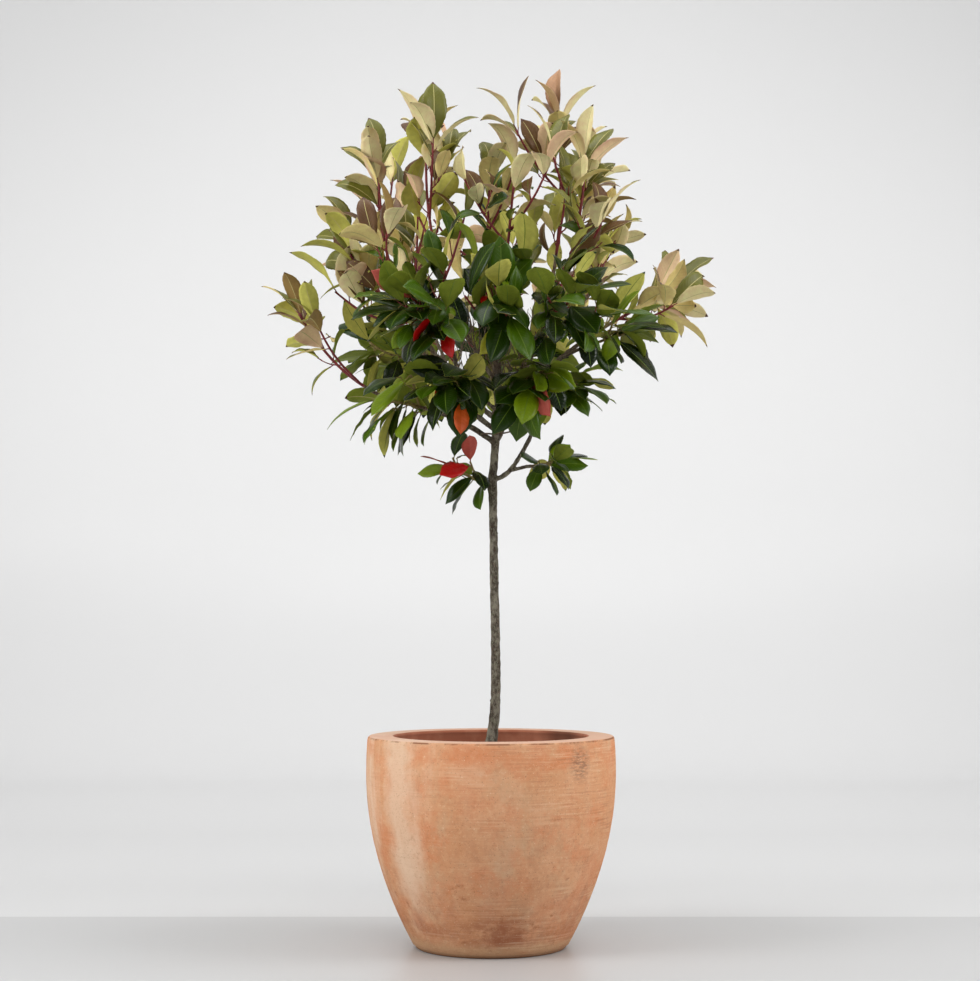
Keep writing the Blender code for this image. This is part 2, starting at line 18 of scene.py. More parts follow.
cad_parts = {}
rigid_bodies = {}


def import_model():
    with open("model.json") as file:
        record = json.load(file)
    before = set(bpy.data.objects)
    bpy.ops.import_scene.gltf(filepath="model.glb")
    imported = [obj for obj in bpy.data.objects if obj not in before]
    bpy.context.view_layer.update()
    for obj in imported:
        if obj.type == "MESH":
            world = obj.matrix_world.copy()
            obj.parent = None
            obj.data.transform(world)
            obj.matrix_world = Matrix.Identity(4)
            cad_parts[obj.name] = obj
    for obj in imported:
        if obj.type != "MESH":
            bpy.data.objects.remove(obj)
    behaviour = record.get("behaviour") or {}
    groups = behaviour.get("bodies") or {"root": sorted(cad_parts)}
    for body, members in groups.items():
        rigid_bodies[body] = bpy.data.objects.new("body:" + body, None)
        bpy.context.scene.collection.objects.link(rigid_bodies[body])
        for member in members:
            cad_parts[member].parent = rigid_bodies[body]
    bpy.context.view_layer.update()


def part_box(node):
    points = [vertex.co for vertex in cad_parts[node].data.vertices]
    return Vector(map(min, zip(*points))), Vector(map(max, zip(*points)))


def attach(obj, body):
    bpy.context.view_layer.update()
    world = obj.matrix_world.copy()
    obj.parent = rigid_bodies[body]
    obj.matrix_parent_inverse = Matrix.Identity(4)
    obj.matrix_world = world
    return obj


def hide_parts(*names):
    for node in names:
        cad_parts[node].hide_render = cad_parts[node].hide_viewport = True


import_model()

# The noise that paths wander by starts from the clock unless it has a seed
noise.seed_set(7)

UP = Vector((0, 0, 1))
JOINT_GAP = 0.0006
GOLDEN_TURN = math.radians(137.5)

# The pot, as in the part: a parabola from the foot to the belly, then a slight lean in to the lip
POT_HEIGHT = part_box("pot")[1].z
POT_FOOT_RADIUS = 0.106
POT_BELLY_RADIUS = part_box("pot")[1].x
POT_BELLY_HEIGHT = 0.245
POT_LIP_RADIUS = 0.173
POT_LIP_WIDTH = 0.038
POT_WALL_AT_FLOOR = 0.030
POT_FLOOR = 0.030
POT_ROUNDING = 0.004
SOIL_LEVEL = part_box("soil")[1].z

# The trunk: height, then how far its middle lies to the right and to the back, then its radius
TRUNK_STATIONS = (
    (SOIL_LEVEL + 0.0003, 0.0000, 0.0000, 0.0135),
    (0.2680, 0.0000, 0.0000, 0.0106),
    (0.2810, 0.0006, 0.0002, 0.0088),
    (0.3060, 0.0030, 0.0010, 0.0077),
    (0.3560, 0.0068, 0.0020, 0.0068),
    (0.4830, 0.0052, 0.0010, 0.0063),
    (0.6100, 0.0030, -0.0010, 0.0058),
    (0.6430, 0.0016, -0.0012, 0.0072),
    (0.6640, 0.0032, -0.0008, 0.0059),
    (0.6930, 0.0055, 0.0000, 0.0057),
    (0.7370, 0.0080, 0.0006, 0.0063),
    (0.7570, 0.0092, 0.0008, 0.0066),
)
BOUGH_STEPS = 4
STEM_STEPS = 5
TWIG_STEPS = 3

# A bough leaves its parent at a height on the trunk, or at a share of its parent bough's length.
# It runs to its tip, where its mass begins, and its middle stands above the straight line between
# by bow times its length, or hangs below it where bow is negative.
Bough = namedtuple("Bough", "parent leaves_at tip bow radius tip_radius")
BOUGHS = {
    "left_low": Bough("trunk", 0.704, (-0.121, -0.020, 0.759), 0.07, 0.0042, 0.0030),
    "left": Bough("trunk", 0.722, (-0.085, -0.050, 0.814), -0.06, 0.0040, 0.0029),
    "upper_left": Bough("trunk", 0.737, (-0.096, 0.020, 0.858), -0.07, 0.0042, 0.0029),
    "leader": Bough("trunk", None, (0.001, 0.026, 0.872), 0.00, 0.0048, 0.0030),
    "upper_right": Bough("trunk", 0.738, (0.086, -0.028, 0.888), -0.04, 0.0046, 0.0030),
    "right": Bough("trunk", 0.716, (0.138, 0.000, 0.854), 0.08, 0.0042, 0.0029),
    "right_low": Bough("trunk", 0.652, (0.073, -0.016, 0.758), -0.20, 0.0038, 0.0027),
    "front": Bough("trunk", 0.709, (0.012, -0.080, 0.825), -0.08, 0.0042, 0.0029),
    "back_right": Bough("trunk", 0.702, (0.055, 0.082, 0.850), -0.07, 0.0042, 0.0029),
    "left_under": Bough("left_low", 0.46, (-0.083, -0.056, 0.747), 0.04, 0.0028, 0.0024),
    "front_left": Bough("left", 0.45, (-0.050, -0.086, 0.812), -0.05, 0.0028, 0.0024),
    "back_left_low": Bough("upper_left", 0.30, (-0.065, 0.070, 0.812), 0.03, 0.0030, 0.0024),
    "back_left": Bough("upper_left", 0.62, (-0.086, 0.078, 0.880), -0.03, 0.0028, 0.0024),
    "top_left": Bough("leader", 0.30, (-0.042, -0.014, 0.872), -0.06, 0.0030, 0.0024),
    "front_high": Bough("leader", 0.52, (0.014, -0.030, 0.880), -0.04, 0.0028, 0.0024),
    "back": Bough("leader", 0.42, (0.006, 0.080, 0.860), -0.05, 0.0030, 0.0024),
    "top_right": Bough("upper_right", 0.50, (0.078, 0.030, 0.898), -0.06, 0.0030, 0.0024),
    "shoulder": Bough("upper_right", 0.72, (0.128, 0.026, 0.906), 0.02, 0.0026, 0.0022),
    "front_right": Bough("upper_right", 0.34, (0.062, -0.080, 0.829), -0.02, 0.0030, 0.0024),
    "right_front": Bough("right", 0.62, (0.113, -0.048, 0.827), 0.02, 0.0026, 0.0022),
    "spur_right": Bough("right_low", 0.30, (0.056, -0.020, 0.670), 0.04, 0.0028, 0.0024),
    "back_low": Bough("back_right", 0.34, (0.007, 0.082, 0.794), 0.02, 0.0028, 0.0024),
    "inner_left": Bough("front", 0.40, (-0.030, -0.066, 0.776), 0.02, 0.0028, 0.0024),
    "inner_right": Bough("front", 0.58, (0.044, -0.080, 0.792), 0.02, 0.0028, 0.0024),
}

# A mass grows on from its bough's tip, or from the trunk at a height. Its stem runs to the apex,
# with side shoots below that. Droop is how far its leaves hang.
Mass = namedtuple("Mass", "starts_at apex leaves shoots droop size seed")
MASSES = {
    "far_left": Mass("left_low", (-0.270, -0.030, 0.884), 8, 2, 0.10, 0.86, 155),
    "low_left": Mass("left_under", (-0.158, -0.085, 0.760), 5, 1, 2.40, 1.00, 37),
    "left": Mass("left", (-0.194, -0.090, 0.956), 8, 3, 0.05, 1.00, 21),
    "front_left": Mass("front_left", (-0.105, -0.185, 0.883), 8, 4, 0.50, 1.00, 144),
    "upper_left": Mass("upper_left", (-0.166, 0.030, 1.106), 8, 4, 0.00, 1.00, 78),
    "top_left": Mass("top_left", (-0.092, -0.020, 1.136), 8, 4, 0.00, 1.02, 140),
    "top_centre": Mass("leader", (-0.001, 0.050, 1.094), 7, 3, 0.00, 1.00, 115),
    "front_high": Mass("front_high", (0.032, -0.085, 1.060), 6, 3, 0.05, 0.86, 74),
    "top_right": Mass("top_right", (0.098, 0.040, 1.178), 7, 3, 0.00, 1.02, 161),
    "upper_right": Mass("upper_right", (0.132, -0.050, 1.101), 9, 3, 0.00, 1.00, 157),
    "shoulder": Mass("shoulder", (0.167, 0.060, 0.985), 7, 2, 0.10, 0.96, 9),
    "far_right": Mass("right", (0.256, 0.000, 0.917), 8, 2, 0.05, 1.00, 146),
    "right_front": Mass("right_front", (0.182, -0.110, 0.845), 6, 2, 0.90, 0.98, 157),
    "low_right": Mass("right_low", (0.119, -0.060, 0.782), 7, 3, 0.80, 0.88, 87),
    "front_right": Mass("front_right", (0.113, -0.185, 0.888), 8, 4, 0.50, 1.00, 22),
    "front": Mass("front", (0.009, -0.205, 0.891), 8, 4, 0.45, 1.00, 146),
    "inner_left": Mass("inner_left", (-0.061, -0.130, 0.774), 8, 4, 0.80, 0.94, 4),
    "inner_right": Mass("inner_right", (0.055, -0.140, 0.770), 8, 4, 0.80, 0.94, 78),
    "back_left": Mass("back_left", (-0.141, 0.180, 1.010), 7, 3, 0.05, 1.00, 96),
    "back_left_low": Mass("back_left_low", (-0.165, 0.165, 0.850), 7, 3, 0.35, 1.00, 55),
    "back": Mass("back", (0.011, 0.180, 1.054), 7, 3, 0.05, 1.00, 118),
    "back_right": Mass("back_right", (0.147, 0.180, 0.993), 7, 3, 0.10, 1.00, 15),
    "back_low": Mass("back_low", (0.020, 0.220, 0.840), 7, 3, 0.40, 1.00, 13),
    "spur_left": Mass(0.645, (-0.055, -0.020, 0.670), 6, 2, 1.20, 0.72, 120),
    "spur_right": Mass("spur_right", (0.100, -0.010, 0.681), 6, 2, 0.80, 0.72, 149),
}
STEM_RADIUS = 0.0026
STEM_TIP_RADIUS = 0.0017
STEM_PULL = 0.45
SPUR_STEM_RADIUS = 0.0030
SPUR_STEM_SAG = 0.10

# Side shoots: the share of the stem that they leave along, their length as a share of the stem's
# there, their lean in degrees and how strongly they bend upwards
TWIG_RADIUS = 0.0020
TWIG_TIP_RADIUS = 0.0014
TWIGS_FROM = 0.25
TWIGS_ALONG = 0.50
TWIG_REACH_AT_ROOT = 0.85
TWIG_REACH_LOST = 0.45
TWIG_MOST = 0.11
TWIG_VARIES = (0.80, 1.10)
TWIG_LEAN = (38, 58)
TWIG_BEND = 0.70
TWIG_TRIES = 8
TWIG_TRY_TURN = 0.30

# Leaves, sized with their stalks. The solids' blades have shoulders at a share of their length, a
# share of their width wide, and these are what room is measured to.
LEAF_LENGTH = 0.085
LEAF_WIDTH = 0.035
LEAF_ARCH = 0.035
LEAF_TIP_DROP = 0.03
LEAF_SHOULDERS = ((0.36, 0.94), (0.70, 0.88))
LEAF_ROOT_SUNK = 0.001
LEAF_VARIES = (0.88, 1.08)

# Along a twig leaves are set further apart with age, spread wider, in degrees, and grow broader
FIRST_LEAF_BACK = 0.003
LEAF_PITCH = 0.005
LEAF_PITCH_GAINED = 0.013
LEAFY_SHARE = 0.85
SIDE_SHOOT_LEAVES = 0.60
SIDE_SHOOT_LEAST = 4
LEAF_SPREAD = 14
LEAF_SPREAD_GAINED = 54
LEAF_SPREAD_EASE = 0.6
LEAF_SPREAD_VARIES = 6
YOUNG_LEAF_BREADTH = 0.88
LEAF_ROLL_VARIES = 28
YOUNG_DROOP = 0.30
LIGHT_FROM_ABOVE = 0.60

# What a leaf keeps clear of, how often it is tried and how far each try turns and spreads it
LEAF_ROOM = 0.0050
SPACE_MARGIN = 0.003
LIMB_ROOM = 0.003
LEAF_TRIES = 9
LEAF_TRY_TURN = 0.16
LEAF_TRY_SPREAD = 3
LEAF_SEED_STEP = 1000

# Finer twigs than the solids have: short spurs with smaller leaves. Old masses have them all along
# their twigs and their bough, and young ones low on their stems alone. Each kind has a number of
# spurs for each twig, and the share of it that they leave along.
SPUR_SEED_STEP = 2000
OLD_SPURS = (6, 0.90)
YOUNG_SPURS = (3, 0.58)
SPARSE_SPURS = (1, 0.40)
SPURS_FROM = 0.04
BOUGH_SPURS_FROM = 0.35
SPUR_LENGTH = (0.014, 0.036)
SPUR_RADIUS = 0.0010
SPUR_TIP_RADIUS = 0.0007
SPUR_LEAN = (40, 75)
SPUR_LEAVES = 4
SPUR_LEAFY_SHARE = 0.8
SPUR_LEAF_SIZE = (0.50, 0.90)
YOUNG_SPUR_LEAF_SIZE = (0.60, 0.94)
SPUR_LEAF_SPREAD = (20, 45)
SPUR_LEAF_SPREAD_VARIES = 8
SPUR_LEAF_ROLL = 40
SPUR_DROOP = 0.2
SPUR_LEAF_AGE = 0.5
SPUR_LEAF_ROOM = 0.0045
SPARSE_MASSES = ("far_left", "far_right", "spur_left", "spur_right")

# The front and low masses carry old leaves, which hang with their dark upper sides out
OLD_MASSES = {
    "low_left", "front_left", "right_front", "low_right", "front_right", "front", "inner_left",
    "inner_right", "back_left_low", "back_low", "spur_left", "spur_right",
}

Path = namedtuple("Path", "points radii")
Leaf = namedtuple("Leaf", "root direction face length width age")
Growth = namedtuple("Growth", "twigs leaves")


def at_share(path, share):
    """The point a share of the way along a path, and the path's direction there."""
    place = share * (len(path.points) - 1)
    low = min(int(place), len(path.points) - 2)
    ahead = path.points[low + 1] - path.points[low]
    return path.points[low] + ahead * (place - low), ahead.normalized()


def at_height(path, height):
    """The point on a rising path at a height."""
    for low, high in zip(path.points, path.points[1:]):
        if low.z <= height <= high.z:
            return low.lerp(high, (height - low.z) / (high.z - low.z))
    return path.points[-1].copy()


def swept(start, control, end, radius, tip_radius, steps):
    """A path along the curve that leaves start towards control and comes to end, tapering evenly."""
    points = []
    radii = []
    for step in range(steps + 1):
        share = step / steps
        points.append(start.lerp(control, share).lerp(control.lerp(end, share), share))
        radii.append(radius + (tip_radius - radius) * share)
    return Path(points, radii)


def trunk_path():
    points = [Vector((right, back, height)) for height, right, back, _ in TRUNK_STATIONS]
    return Path(points, [station[3] for station in TRUNK_STATIONS])


def bough_path(bough, limbs):
    """A bough's path from the middle of its parent to its tip."""
    parent = limbs[bough.parent]
    if bough.leaves_at is None:
        start = parent.points[-1]
    elif bough.parent == "trunk":
        start = at_height(parent, bough.leaves_at)
    else:
        start, _ = at_share(parent, bough.leaves_at)
    tip = Vector(bough.tip)
    control = (start + tip) / 2 + UP * 2 * bough.bow * (tip - start).length
    if bough.leaves_at is None:
        control = start + UP * (tip - start).length / 2
    return swept(start, control, tip, bough.radius, bough.tip_radius, BOUGH_STEPS)


def stem_path(mass, limbs):
    """A mass's stem, from its bough's tip or the trunk's middle to the apex."""
    apex = Vector(mass.apex)
    if isinstance(mass.starts_at, str):
        tip, ahead = at_share(limbs[mass.starts_at], 1)
        start = tip + ahead * JOINT_GAP
        control = start + ahead * (apex - start).length * STEM_PULL
        return swept(start, control, apex, STEM_RADIUS, STEM_TIP_RADIUS, STEM_STEPS)
    start = at_height(limbs["trunk"], mass.starts_at)
    control = (start + apex) / 2 - UP * SPUR_STEM_SAG * (apex - start).length
    return swept(start, control, apex, SPUR_STEM_RADIUS, STEM_TIP_RADIUS, STEM_STEPS)


def sideways(ahead, turn):
    """A direction square to ahead, turned about it."""
    side = ahead.cross(UP if abs(ahead.z) < 0.9 else Vector((1, 0, 0))).normalized()
    return Matrix.Rotation(turn, 3, ahead) @ side


def twig_path(stem, share, turn, lean, length, radius=TWIG_RADIUS, tip_radius=TWIG_TIP_RADIUS):
    """A side shoot that leaves the stem at a lean and bends upwards."""
    start, ahead = at_share(stem, share)
    out = ahead * math.cos(lean) + sideways(ahead, turn) * math.sin(lean)
    control = start + out * length / 2
    end = control + (out + UP * TWIG_BEND).normalized() * length / 2
    return swept(start, control, end, radius, tip_radius, TWIG_STEPS)


def leaf_samples(leaf):
    """Points all over the blade, away from the root, for measuring how close things come."""
    across = leaf.face.cross(leaf.direction)
    corners = []
    for share, width in LEAF_SHOULDERS:
        middle = leaf.root + (leaf.direction * share + leaf.face * LEAF_ARCH) * leaf.length
        corners.append(middle + across * width * leaf.width / 2)
        corners.append(middle - across * width * leaf.width / 2)
    left_low, right_low, left_high, right_high = corners
    tip = leaf.root + (leaf.direction - leaf.face * LEAF_TIP_DROP) * leaf.length
    low = (left_low + right_low) / 2
    high = (left_high + right_high) / 2
    waist = (low + high) / 2
    return [
        left_low, right_low, left_high, right_high, tip, low, high, waist,
        (left_low + left_high) / 2, (right_low + right_high) / 2, (high + tip) / 2,
        (left_high + tip) / 2, (right_high + tip) / 2,
    ]


def spans(paths):
    """The straight spans of some paths, as starts, ends and radii."""
    starts = [point for path in paths for point in path.points[:-1]]
    ends = [point for path in paths for point in path.points[1:]]
    radii = [radius for path in paths for radius in path.radii[:-1]]
    return np.array(starts), np.array(ends), np.array(radii)


def distances(points, starts, ends):
    """How far each point is from each span."""
    points = np.array(points)[:, None]
    along = (ends - starts)[None]
    share = ((points - starts) * along).sum(2) / (along**2).sum(2)
    nearest = starts + np.clip(share, 0, 1)[..., None] * along
    return np.linalg.norm(points - nearest, axis=2)


class Spaces:
    """The space of every mass, set out by the wood that is there already, and the room on the limbs."""

    def __init__(self, wood, limbs):
        self.limbs = spans(limbs.values())
        self.owners = []
        paths = []
        for owner, twigs in wood.items():
            for path in twigs:
                paths.append(path)
                self.owners += [owner] * (len(path.points) - 1)
        self.owners = np.array(self.owners)
        self.wood = spans(paths)

    def holds(self, owner, points):
        """Whether all these points lie in the owner's space and off the limbs."""
        starts, ends, radii = self.limbs
        if (distances(points, starts, ends) < radii + LIMB_ROOM).any():
            return False
        apart = distances(points, *self.wood[:2])
        own = apart[:, self.owners == owner].min(1)
        return bool((own + SPACE_MARGIN < apart[:, self.owners != owner].min(1)).all())


def grow_twigs(name, mass, stem, spaces):
    """The stem and those of its side shoots that keep to the mass's space."""
    chance = random.Random(mass.seed)
    reach = (stem.points[-1] - stem.points[0]).length
    first_turn = chance.uniform(0, math.tau)
    twigs = [stem]
    for number in range(mass.shoots):
        share = TWIGS_FROM + TWIGS_ALONG * (number + chance.random()) / mass.shoots
        longest = min(TWIG_MOST, reach * (TWIG_REACH_AT_ROOT - TWIG_REACH_LOST * share))
        length = longest * chance.uniform(*TWIG_VARIES)
        for trial in range(TWIG_TRIES):
            aside = chance.uniform(-TWIG_TRY_TURN, TWIG_TRY_TURN) * trial
            turn = first_turn + GOLDEN_TURN * number + aside
            lean = math.radians(chance.uniform(*TWIG_LEAN))
            twig = twig_path(stem, share, turn, lean, length)
            if spaces.holds(name, twig.points[1:]):
                twigs.append(twig)
                break
    return twigs


def grow_leaves(name, mass, twigs, spaces, taken):
    """Leaves in a spiral down each twig: close and upright at its tip, wider and lower further back."""
    chance = random.Random(LEAF_SEED_STEP + mass.seed)
    leaves = []
    for twig in twigs:
        length = sum((b - a).length for a, b in zip(twig.points, twig.points[1:]))
        count = mass.leaves
        if twig is not twigs[0]:
            count = max(SIDE_SHOOT_LEAST, round(mass.leaves * SIDE_SHOOT_LEAVES))
        first_turn = chance.uniform(0, math.tau)
        back = FIRST_LEAF_BACK
        for number in range(count):
            age = number / count
            root, ahead = at_share(twig, max(0.0, 1 - back / length))
            back += LEAF_PITCH + LEAF_PITCH_GAINED * age
            size = mass.size * chance.uniform(*LEAF_VARIES)
            for trial in range(LEAF_TRIES):
                aside = chance.uniform(-LEAF_TRY_TURN, LEAF_TRY_TURN) * trial
                turn = first_turn + GOLDEN_TURN * number + aside
                wider = chance.uniform(-LEAF_SPREAD_VARIES, LEAF_SPREAD_VARIES) + LEAF_TRY_SPREAD * trial
                spread = math.radians(LEAF_SPREAD + LEAF_SPREAD_GAINED * age**LEAF_SPREAD_EASE + wider)
                roll = math.radians(chance.uniform(-LEAF_ROLL_VARIES, LEAF_ROLL_VARIES))
                droop = mass.droop * (YOUNG_DROOP + age)
                leaf = turned_leaf(root, ahead, turn, spread, droop, roll, size, age)
                if takes_room(name, leaf, spaces, taken, LEAF_ROOM):
                    leaves.append(leaf)
                    break
            if back > LEAFY_SHARE * length:
                break
    return leaves


def turned_leaf(root, ahead, turn, spread, droop, roll, size, age):
    """A leaf at a spread from its twig, its upper face to the twig's tip and the light, then rolled."""
    direction = ahead * math.cos(spread) + sideways(ahead, turn) * math.sin(spread)
    direction = (direction - UP * droop).normalized()
    light = ahead + UP * LIGHT_FROM_ABOVE
    face = (light - direction * light.dot(direction)).normalized()
    face = Matrix.Rotation(roll, 3, direction) @ face
    root = root - direction * LEAF_ROOT_SUNK
    breadth = YOUNG_LEAF_BREADTH + (1 - YOUNG_LEAF_BREADTH) * age
    return Leaf(root, direction, face, LEAF_LENGTH * size, LEAF_WIDTH * size * breadth, age)


def takes_room(name, leaf, spaces, taken, room):
    """Whether a leaf lies in its mass's space and clear of all leaves there. If so, it takes its room."""
    samples = leaf_samples(leaf)
    free = spaces.holds(name, samples)
    if free and taken:
        near = np.concatenate(taken)[None] - np.array(samples)[:, None]
        free = bool((np.einsum("ijk,ijk->ij", near, near) > room**2).all())
    if free:
        taken.append(np.array(samples))
    return free


def grow_spurs(name, mass, twigs, bough, spaces, taken):
    """Short fine spurs along a mass's twigs and the end of its bough, each with a few smaller leaves."""
    chance = random.Random(SPUR_SEED_STEP + mass.seed)
    spurs = []
    leaves = []
    each, along = OLD_SPURS if name in OLD_MASSES else YOUNG_SPURS
    sizes = SPUR_LEAF_SIZE if name in OLD_MASSES else YOUNG_SPUR_LEAF_SIZE
    if name in SPARSE_MASSES:
        each, along = SPARSE_SPURS
    carriers = [(twig, SPURS_FROM, along) for twig in twigs]
    if bough and name not in SPARSE_MASSES:
        carriers.append((bough, BOUGH_SPURS_FROM, 1 - BOUGH_SPURS_FROM))
    for twig, first, reach in carriers:
        for number in range(each):
            share = first + reach * (number + chance.random()) / each
            length = chance.uniform(*SPUR_LENGTH)
            turn = GOLDEN_TURN * number + chance.uniform(0, 1)
            lean = math.radians(chance.uniform(*SPUR_LEAN))
            spur = twig_path(twig, share, turn, lean, length, SPUR_RADIUS, SPUR_TIP_RADIUS)
            if not spaces.holds(name, spur.points[2:]):
                continue
            grown = []
            for step in range(SPUR_LEAVES):
                age = step / SPUR_LEAVES
                root, ahead = at_share(spur, 1 - SPUR_LEAFY_SHARE * age)
                size = mass.size * chance.uniform(*sizes)
                wider = chance.uniform(-SPUR_LEAF_SPREAD_VARIES, SPUR_LEAF_SPREAD_VARIES)
                spread = math.radians(SPUR_LEAF_SPREAD[0] + SPUR_LEAF_SPREAD[1] * age + wider)
                roll = math.radians(chance.uniform(-SPUR_LEAF_ROLL, SPUR_LEAF_ROLL))
                droop = (mass.droop + SPUR_DROOP) * (YOUNG_DROOP + age)
                leaf_age = SPUR_LEAF_AGE + (1 - SPUR_LEAF_AGE) * age
                leaf_turn = turn + GOLDEN_TURN * step
                leaf = turned_leaf(root, ahead, leaf_turn, spread, droop, roll, size, leaf_age)
                if takes_room(name, leaf, spaces, taken, SPUR_LEAF_ROOM):
                    grown.append(leaf)
            if grown:
                spurs.append(spur)
                leaves += grown
    return Growth(spurs, leaves)


def grow_plant():
    """Every limb's path, what grows in every mass, and its finer spurs."""
    limbs = {"trunk": trunk_path()}
    for name, bough in BOUGHS.items():
        limbs[name] = bough_path(bough, limbs)
    stems = {name: [stem_path(mass, limbs)] for name, mass in MASSES.items()}
    spaces = Spaces(stems, limbs)
    wood = {name: grow_twigs(name, mass, stems[name][0], spaces) for name, mass in MASSES.items()}
    spaces = Spaces(wood, limbs)
    taken = []
    crown = {}
    for name, mass in MASSES.items():
        crown[name] = Growth(wood[name], grow_leaves(name, mass, wood[name], spaces, taken))
    fine = {}
    for name, mass in MASSES.items():
        fine[name] = grow_spurs(name, mass, wood[name], limbs.get(mass.starts_at), spaces, taken)
    return limbs, crown, fine


# Materials


def shown(red, green, blue):
    """A colour given as it is seen on a screen, 0 to 255, in the shader's linear values."""
    return tuple((value / 255) ** 2.2 for value in (red, green, blue)) + (1,)


def scaled(colour, factor):
    """A linear colour made lighter or darker."""
    return tuple(min(1.0, value * factor) for value in colour[:3]) + (1,)


class Look:
    """A material whose colour is laid on in layers, with short calls for its shader nodes."""

    def __init__(self, name, roughness, shine, body):
        self.material = bpy.data.materials.new(name)
        self.material.use_nodes = True
        self.tree = self.material.node_tree
        self.shader = self.tree.nodes["Principled BSDF"]
        self.shader.inputs["Roughness"].default_value = roughness
        self.shader.inputs["Specular IOR Level"].default_value = shine
        self.body = body

    def feed(self, socket, value):
        if isinstance(value, bpy.types.NodeSocket):
            self.tree.links.new(value, socket)
        else:
            socket.default_value = value

    def node(self, kind, *values, **settings):
        """A node with these settings, its inputs fed with these values in turn."""
        node = self.tree.nodes.new(kind)
        for name, value in settings.items():
            setattr(node, name, value)
        for socket, value in zip(node.inputs, values):
            self.feed(socket, value)
        return node

    def place(self, stretch=(1, 1, 1), kind="Object"):
        """Coordinates in metres, stretched for each axis."""
        mapping = self.node("ShaderNodeMapping", self.node("ShaderNodeTexCoord").outputs[kind])
        mapping.inputs["Scale"].default_value = stretch
        return mapping.outputs["Vector"]

    def parts(self, place):
        return self.node("ShaderNodeSeparateXYZ", place).outputs

    def noise(self, scale, detail, roughness, stretch=(1, 1, 1)):
        texture = self.node("ShaderNodeTexNoise", self.place(stretch), 0.0, scale, detail, roughness)
        return texture.outputs["Fac"]

    def between(self, value, low, high, to_low=0.0, to_high=1.0):
        """Maps a value evenly from one range to another, and no further."""
        return self.node("ShaderNodeMapRange", value, low, high, to_low, to_high).outputs["Result"]

    def patches(self, scale, detail, roughness, *ranges, stretch=(1, 1, 1)):
        """Noise that is mapped from one range to another, so that it comes in patches."""
        return self.between(self.noise(scale, detail, roughness, stretch), *ranges)

    def spot(self, centre, reach):
        """1 at a centre, falling to 0 at its reach to either side, which is given for each axis."""
        stretch = tuple(1 / size for size in reach)
        middle = tuple(place * size for place, size in zip(centre, stretch))
        away = self.node("ShaderNodeVectorMath", self.place(stretch), middle, operation="DISTANCE")
        return self.between(away.outputs["Value"], 1.0, 0.35)

    def maths(self, operation, *values):
        return self.node("ShaderNodeMath", *values, operation=operation).outputs[0]

    def times(self, product, *others):
        for value in others:
            product = self.maths("MULTIPLY", product, value)
        return product

    def mix(self, share, first, second):
        mixed = self.node("ShaderNodeMix", share, data_type="RGBA")
        self.feed(mixed.inputs[6], first)
        self.feed(mixed.inputs[7], second)
        return mixed.outputs[2]

    def paint(self, share, colour):
        """Lays a colour over what is there, by a share."""
        self.body = self.mix(share, self.body, colour)

    def finish(self, relief=None, distance=0.0, strength=0.0):
        """The material, coloured by its layers and with a relief as its bump."""
        self.feed(self.shader.inputs["Base Color"], self.body)
        if relief is not None:
            bump = self.node("ShaderNodeBump")
            for name, value in (("Strength", strength), ("Distance", distance), ("Height", relief)):
                self.feed(bump.inputs[name], value)
            self.feed(self.shader.inputs["Normal"], bump.outputs["Normal"])
        return self.material


# Where the pot's weathering lies: a centre and its reach to each side, for each axis
SMUDGE = ((0.119, -0.126, 0.262), (0.022, 0.022, 0.030))
INNER_STAIN = ((0.110, 0.090, 0.285), (0.050, 0.050, 0.030))
# A brown streak, a brown patch and a pale one on its front, and how strong each is
STAINS = (
    ((0.064, -0.145, 0.125), (0.020, 0.034, 0.062), 0.45, shown(182, 120, 86)),
    ((0.016, -0.120, 0.034), (0.068, 0.050, 0.030), 0.75, shown(154, 92, 66)),
    ((-0.010, -0.170, 0.262), (0.060, 0.030, 0.024), 0.55, shown(232, 186, 150)),
)
# The band of bloom, in degrees about the pot from its front: its middle, its reach and how far it wanders
BLOOM_TURN = -46
BLOOM_REACH = 13
BLOOM_WANDER = 22


